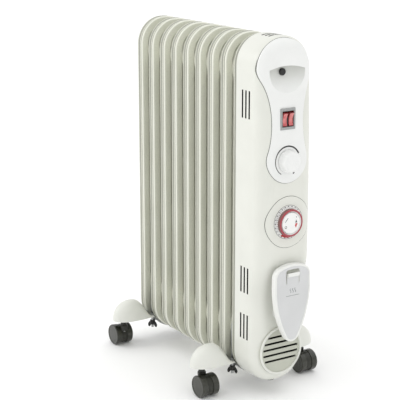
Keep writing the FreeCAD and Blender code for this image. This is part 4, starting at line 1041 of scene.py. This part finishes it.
@dataclass
class Thermostat:
    """The domed knob and the printed heat scale round it."""

    y: float = PANEL_Y
    z: float = 433.0
    radius: float = 19.5
    height: float = 18.5
    gap: float = 0.8
    scale_radius: float = 25.3
    notch_half: float = 1.3
    bore: float = 3.05
    bore_depth: float = 13.5

    def knob(self) -> Surface:
        """Turn the knob, with a pressed pointer notch on its lower shoulder.

        The notch lowers the rim by 1.6 mm times a bell curve of the distance along the rim and a
        smooth step of the radius.
        """
        low = float(face_x(self.z)) + PANEL_RISE + self.gap
        profile = rounded([(self.bore, 0, 0), (self.radius - 1, 0, 0), (self.radius, 0, 0.5),
                           (18.0, 10.8, 1.5), (16.6, 14.8, 2.8), (8.5, 18.4, 7.0), (0, self.height, 0),
                           (0, self.bore_depth, 0), (self.bore, self.bore_depth, 0), (self.bore, 0, 0)], 7)
        angle = np.linspace(0, 2 * math.pi, 180, endpoint=False)[:, None]
        radius, up = profile[None, :, 0], profile[None, :, 1]
        off = radius * np.abs((angle - 1.5 * math.pi + math.pi) % (2 * math.pi) - math.pi)
        notch = 1.6 * np.exp(-(off / self.notch_half) ** 4) * smooth_step(radius, 12.5, 15.5) * (up > 9)
        x = low + up - notch
        y, z = self.y + radius * np.cos(angle), self.z + radius * np.sin(angle)
        return grid(np.stack((x, y, z), axis=-1) * MM, wrap_u=True)

    def scale_mark(self) -> Surface:
        """Print the heat scale: an arc that thickens smoothly from its low end, and a dot."""
        def mark(first: float, last: float, count: int, width: Any) -> Surface:
            """One stretch of print between two clock angles in degrees."""
            angle = np.radians(np.linspace(first, last, count))
            path = clock_places((self.y, self.z), self.scale_radius, angle)
            return print_line(path, width, face_x(path[:, 1]) + PANEL_RISE)

        width = 1.3 + 1.3 * smooth_step(np.linspace(0, 1, 60), 0.1, 0.7)
        return mark(212, 424, 60, width) + mark(146, 154, 8, 2.2)

    def build(self) -> None:
        """Build the knob and its scale."""
        make_piece("thermostat_knob_moulding", self.knob(), [KNOB_ABS], "thermostat",
                   ["thermostat_knob"], crease_degrees=50)
        make_piece("heat_scale_print", self.scale_mark(), [BLACK_INK], "root")


@dataclass
class Timer:
    """The 24-hour dial with its 48 tappets, and the fixed plate in its middle."""

    z: float = TIMER_Z
    floor_x: float = 199.5
    floor_top: float = 1.7
    radius: float = 29.2
    bore: float = 5.06
    ring_radius: float = 24.0
    ring_inside: float = 18.95
    ring_lip: float = 20.6
    plate_radius: float = 18.6
    plate_top: float = 11.0
    ring_top: float = 12.0
    tappets: int = 48
    red_tappets: tuple[int, int] = (20, 29)

    @property
    def centre(self) -> tuple[float, float, float]:
        """The dial's centre at its back."""
        return self.floor_x, 0.0, self.z

    def dial(self) -> Surface:
        """Turn the dial: a white floor with a raised edge, and a red ring with a white slope inside it.

        The ring's outer wall, which the tappets stand against, has finish 2, a duller, darker red painted as
        shade.
        """
        rim, bore, top, floor = self.radius, self.bore, self.ring_top, self.floor_top
        ring, lip, inside, edge = self.ring_radius, self.ring_lip, self.ring_inside, floor + 0.5
        strips = (
            (0, [(bore, 0, 0), (rim, 0, 0), (rim, edge, 0.4), (28.2, edge, 0.2), (27.6, floor, 0.2),
                 (bore, floor, 0), (bore, 0, 0)]),
            (2, [(inside, floor, 0), (ring, floor, 0), (ring, top - 1.6, 0)]),
            (1, [(ring, top - 1.6, 0), (ring - 0.8, top, 0.8), (lip + 0.6, top, 0.4), (lip, top - 1, 0)]),
            (0, [(lip, top - 1, 0), (inside, top - 3.4, 0), (inside, floor, 0)]))
        return joined([turned(rounded(corners, 3), self.centre, "x", 96, mark) for mark, corners in strips])

    def tappet(self, index: int) -> Surface:
        """Make one tappet: a small block whose top slopes outwards, at its place round the dial."""
        radii, tops = np.array((24.15, 24.3, 26.6, 26.9)), np.array((4.2, 5.0, 4.2, 3.4))
        foot = self.floor_top + 0.1
        angle = 2 * math.pi * (index + 0.5) / self.tappets
        out = np.array((0, math.sin(angle), math.cos(angle)))
        across = np.array((0, math.cos(angle), -math.sin(angle)))
        place = np.array(self.centre) + radii[:, None] * out + np.array((foot, 0, 0))
        section = np.stack([np.stack((np.full(4, a), (tops - foot) * b), axis=-1)
                            for a, b in ((-1.25, 0), (1.25, 0), (1.1, 1), (-1.1, 1))], axis=1)
        loops = place[:, None] + section[..., :1] * across + section[..., 1:] * np.array((1, 0, 0))
        return capped(loops, int(self.red_tappets[0] <= index < self.red_tappets[1]))

    def hour_ticks(self) -> Surface:
        """Print an hour line on the dial's floor every 15 degrees."""
        back, front = self.floor_x + self.floor_top - 0.1, self.floor_x + self.floor_top + 0.6
        return joined([ribbon(clock_places((0, self.z), np.linspace(26.9, 28.6, 4), math.radians(15 * hour)),
                              np.full(4, 1.5), back, front) for hour in range(24)])

    def centre_plate(self) -> Surface:
        """Turn the fixed plate, slightly domed, with its spindle."""
        r, under, spindle, end = self.plate_radius, 8.0, 5.0, -20.0
        corners = [(0, end, 0), (spindle, end, 0), (spindle, under, 0), (r - 0.4, under, 0), (r, under, 0.3),
                   (r, 10.4, 0.6), (r - 0.8, 10.9, 0.4), (0, self.plate_top, 0)]
        return turned(rounded(corners, 4), self.centre, "x", 72)

    def plate_marks(self) -> tuple[Surface, Surface]:
        """Print plain marks on the fixed plate: a line, a ring, a pointer, and a red turning arrow.

        Returns:
            The dark marks and the red ones.
        """
        back, front = self.floor_x + self.plate_top - 0.15, self.floor_x + self.plate_top + 0.1
        t, turn = np.linspace(0, 1, 12), np.linspace(0, 2 * math.pi, 24)

        def printed(*marks: tuple[Any, np.ndarray, Any]) -> Surface:
            """Print some marks, each given by its y and z about the plate's centre and its width."""
            return joined([ribbon(np.column_stack((np.broadcast_to(y, len(z)), z + self.z)),
                                  np.broadcast_to(width, len(z)), back, front) for y, z, width in marks])

        dark = printed((-13 + 6 * t, 3 + 7 * t, 0.9),
                       (-11.5 + 1.9 * np.cos(turn), -6 + 1.9 * np.sin(turn), 0.7),
                       (10.0, 5 - 5 * t, 0.2 + 3.8 * t), (10.5, 9 + 1.4 * t, 1.6))
        red = printed((10.5, -1.5 - 2.5 * t, 4.2), (9.5, -4 - 5 * t, 4.4 - 4.2 * t))
        return dark, red

    def build(self) -> None:
        """Build the dial, its tappets, the plate and the prints."""
        make_piece("timer_dial_moulding", self.dial(), [TIMER_WHITE_ABS, TIMER_RED_ABS, TIMER_WALL_SHADE_ABS],
                   "dial", ["timer_dial"], crease_degrees=40)
        blocks = joined([self.tappet(index) for index in range(self.tappets)])
        make_piece("timer_tappet_set", blocks, [TIMER_WHITE_ABS, RED_INK], "dial",
                   ["timer_tappets"])
        make_piece("hour_tick_print", self.hour_ticks(), [BLACK_INK], "dial")
        make_piece("timer_centre_moulding", self.centre_plate(), [TIMER_WHITE_ABS], "root",
                   ["timer_centre_plate"], crease_degrees=40)
        dark, red = self.plate_marks()
        make_piece("timer_mark_print", dark + red.marked(1), [BLACK_INK, RED_INK], "root")


@dataclass
class SwitchPair:
    """Two lit rockers in a grey bezel."""

    y: float = PANEL_Y
    z: float = 505.0
    pivot_x: float = 196.15
    back: float = -4.0
    edge: float = 0.7
    middle: float = 3.0
    rise: float = 3.3
    half_face: float = 11.4
    half_back: float = 12.3
    inner_y: float = 1.6
    outer_y: float = 11.0
    rest_degrees: float = 8.0

    def rocker(self, side: int) -> Surface:
        """Skin one rocker: a hollow-faced block tipped about its pivot.

        Along the rocker the face's height over the pivot is its height in the middle plus its rise
        times the square of the share of its length, and its end faces lean in to meet the face.  The
        face has finish 0, with pink clouds painted as highlights, and the edges, the sides and the ends
        have finish 1, a darker red painted as shade.
        """
        count = 25
        share = np.linspace(-1, 1, count)
        face = self.middle + self.rise * share ** 2
        face_z, back_z = share * self.half_face, share * self.half_back
        y0, y1 = sorted((side * self.inner_y, side * self.outer_y))
        columns = ((self.back, y0, back_z), (face - self.edge, y0, face_z), (face, y0 + self.edge, face_z),
                   (face, y1 - self.edge, face_z), (face - self.edge, y1, face_z), (self.back, y1, back_z))
        x, y, z = (np.stack([np.broadcast_to(column[i], count) for column in columns], axis=1)
                   for i in range(3))
        cos, sin = math.cos(math.radians(self.rest_degrees)), math.sin(math.radians(self.rest_degrees))
        surface = capped(np.stack((x * cos + z * sin + self.pivot_x, y + self.y, z * cos - x * sin + self.z),
                                  axis=-1), mark=1)
        along, across = np.divmod(np.arange(len(surface.faces)), len(columns))
        surface.marks[(across == 2) & (along > 1) & (along < count - 1)] = 0
        return surface

    def build(self) -> None:
        """Build the rockers."""
        for name, side in (("left", -1), ("right", 1)):
            make_piece(f"lit_rocker_{name}", self.rocker(side), [ROCKER_HIGHLIGHT_PC, ROCKER_EDGE_SHADE_PC],
                       f"rocker_{name}", [f"rocker_{name}"], crease_degrees=50)


@dataclass
class CoverTrim:
    """The raised ring round the vent grille, and dark strips of painted shadow in the gaps round the panel,
    the timer plate and the dial.
    """

    seat_x: float = 184.0
    grille_z: float = 88.0
    grille_radius: float = 45.0
    panel_y: float = PANEL_Y
    panel_top: tuple[float, float] = (588.5, 50.75)
    panel_low: tuple[float, float] = (435.5, 40.75)
    panel_waist: float = 179.75
    timer_z: float = TIMER_Z
    timer_radius: float = 45.25
    dial_radius: float = 29.35
    shadow_strip_width: float = 1.0
    shadow_strip_sink: float = 0.8
    shadow_strip_rise: float = 0.25

    def grille_ring(self) -> Surface:
        """Turn the raised ring: a rounded lip that stands a little inside the grille's own edge."""
        r = self.grille_radius
        inside = r - 4.4
        return turned(rounded([(inside, 1.4, 0), (inside, 3.4, 0.8), (r - 2.6, 4.4, 1.4), (r - 0.4, 3.6, 1.4),
                               (r - 0.2, 0.2, 0.3), (r - 2, 0.2, 0), (inside, 1.4, 0)], 4),
                      (self.seat_x, 0, self.grille_z), "x", 96)

    def panel_line(self) -> np.ndarray:
        """Draw the panel's outline: two circles joined by a waist circle that touches both.

        The waist's centre is a waist radius and a circle's radius away from each circle's centre, so
        its height follows from the difference of the two squares.
        """
        (top_z, top_r), (low_z, low_r), waist = self.panel_top, self.panel_low, self.panel_waist
        apart, from_top, from_low = top_z - low_z, top_r + waist, low_r + waist
        down = (from_top ** 2 - from_low ** 2 + apart ** 2) / (2 * apart)
        centre = np.array((math.sqrt(from_top ** 2 - down ** 2), top_z - down))
        tilt_top = math.atan2(top_z - centre[1], -centre[0])
        tilt_low = math.atan2(low_z - centre[1], -centre[0])

        def arc(middle: Sequence[float], radius: float, start: float, end: float, count: int) -> np.ndarray:
            """Places on a circle between two angles."""
            angle = np.linspace(start, end, count)[:, None]
            return np.array(middle) + radius * np.hstack((np.cos(angle), np.sin(angle)))

        right = np.vstack((arc((0, top_z), top_r, math.pi / 2, tilt_top - math.pi, 50)[:-1],
                           arc(centre, waist, tilt_top, tilt_low + 2 * math.pi, 40)[:-1],
                           arc((0, low_z), low_r, tilt_low + math.pi, -math.pi / 2, 40)))
        return np.vstack((right, right[-2::-1] * (-1, 1))) + (self.panel_y, 0)

    def shadow_strip(self, line: np.ndarray) -> Surface:
        """Lay a dark strip of painted shadow along a line, a little over the cover's skin and under the
        panel's.
        """
        return ribbon(line, np.full(len(line), self.shadow_strip_width),
                      lambda place: cover_skin_x(place) - self.shadow_strip_sink,
                      lambda place: cover_skin_x(place) + self.shadow_strip_rise)

    def build(self) -> None:
        """Build the ring and the strips of painted shadow."""
        make_piece("vent_ring_moulding", self.grille_ring(), [HOOD_PP], "root")
        angle = np.linspace(0, 2 * math.pi, 121)
        rings = [self.shadow_strip(clock_places((0, self.timer_z), radius, angle)).moved(x=lift * MM)
                 for radius, lift in ((self.timer_radius, 0.0), (self.dial_radius, 0.6))]
        make_piece("panel_gap_painted_shadow", joined([self.shadow_strip(self.panel_line()), *rings]), [SHADOW_GAP_STRIP], "root")


# ---- the studio ------------------------------------------------------------------------------------
@dataclass
class Studio:
    """Floor, sky, one soft light and camera."""

    floor_colour: str = "FFFFFF"
    floor_half: float = 60.0
    camera_place: tuple[float, float, float] = (1.8638, -1.2348, 0.8948)
    camera_target: tuple[float, float, float] = (-0.0595, -0.0130, 0.3102)
    lens_mm: float = 112.8
    zenith: float = 1.45
    horizon: float = 0.5
    band: float = 1.05
    key_place: tuple[float, float, float] = (-2.3, -2.6, 2.0)
    key_size: float = 1.6
    key_watts: float = 22.0

    def build(self) -> None:
        """Build the floor, the sky, the light and the camera."""
        self.build_floor()
        self.build_sky()
        self.build_key_light()
        self.build_camera()

    def build_floor(self) -> None:
        """Build a pale floor, a little uneven in tone."""
        half = self.floor_half
        steps = np.linspace(-half, half, 9)
        x, y = np.meshgrid(steps, steps, indexing="ij")
        surface = grid(np.stack((x, y, np.full_like(x, -0.0005)), axis=-1))
        mesh = bpy.data.meshes.new("studio_floor")
        mesh.from_pydata(surface.points, [], surface.faces)
        finish = Finish("matt_floor_paint", self.floor_colour, "FCFCFC", Grain.SPARK_ERODED, 6.0, 0.02,
                        cloud_mm=900.0, roughness=(0.7, 0.85))
        mesh.materials.append(finish.material())
        floor = bpy.data.objects.new("studio_floor", mesh)
        bpy.context.scene.collection.objects.link(floor)

    def build_sky(self) -> None:
        """Light everything softly with a white sky.

        Its strength rises evenly with the height looked at, and a bright band along the horizon meets
        the floor: the strength is the larger of the two.
        """
        world = bpy.data.worlds.new("studio_sky")
        world.use_nodes = True
        tree = world.node_tree
        tree.nodes.clear()
        place = add(tree, "ShaderNodeTexCoord").outputs["Generated"]
        height = add(tree, "ShaderNodeSeparateXYZ", links={"Vector": place}).outputs["Z"]
        strength = add(tree, "ShaderNodeMapRange", {"To Min": self.horizon, "To Max": self.zenith},
                       {"Value": height}).outputs["Result"]
        band = add(tree, "ShaderNodeMapRange",
                   {"From Min": 0.1, "From Max": 0.3, "To Min": self.band, "To Max": 0.0},
                   {"Value": height}).outputs["Result"]
        strength = add(tree, "ShaderNodeMath", links={0: strength, 1: band}, operation="MAXIMUM").outputs[0]
        background = add(tree, "ShaderNodeBackground", {"Color": (1, 1, 1, 1)}, {"Strength": strength})
        add(tree, "ShaderNodeOutputWorld", links={"Surface": background.outputs[0]})
        bpy.context.scene.world = world

    def build_key_light(self) -> None:
        """Build one soft square light that faces the middle of the object."""
        light = bpy.data.lights.new("key_light", "AREA")
        light.size, light.energy = self.key_size, self.key_watts
        lamp = bpy.data.objects.new("key_light", light)
        lamp.location = self.key_place
        aim = Vector((0, 0, 0.3)) - Vector(self.key_place)
        lamp.rotation_euler = aim.to_track_quat("-Z", "Y").to_euler()
        bpy.context.scene.collection.objects.link(lamp)

    def build_camera(self) -> None:
        """Build the camera and the plain view transform."""
        data = bpy.data.cameras.new("studio_camera")
        data.lens, data.sensor_width, data.clip_end = self.lens_mm, 36.0, 200.0
        camera = bpy.data.objects.new("studio_camera", data)
        camera.location = self.camera_place
        aim = Vector(self.camera_target) - Vector(self.camera_place)
        camera.rotation_euler = aim.to_track_quat("-Z", "Y").to_euler()
        bpy.context.scene.collection.objects.link(camera)
        bpy.context.scene.camera = camera
        bpy.context.scene.view_settings.view_transform = "Standard"


def dress_cad_nodes() -> None:
    """Give every CAD node the finish of its slot, or its own where it has one."""
    for part in frame["record"]["subparts"]:
        finish = NODE_FINISHES.get(part["node"], SLOT_FINISHES[part["material_slot"]])
        mesh = frame["nodes"][part["node"]].data
        mesh.materials.clear()
        mesh.materials.append(finish.material())
        LOG.info("%s: dressed with %s", part["node"], finish.name)


def main() -> None:
    """Build the sub-assemblies in order, then the studio."""
    logging.basicConfig(level=logging.INFO, format="%(name)s: %(message)s")
    dress_cad_nodes()
    FinBank().build()
    feet = Feet()
    feet.build()
    for end, x, trail in zip(("front", "rear"), feet.places_x, (feet.trail, -feet.trail)):
        for side, y in (("left", -feet.stem_y), ("right", feet.stem_y)):
            Caster(end, side, x, y, trail).build()
    CordHook().build()
    Thermostat().build()
    Timer().build()
    SwitchPair().build()
    CoverTrim().build()
    Studio().build()


if __name__ == "__main__":
    main()
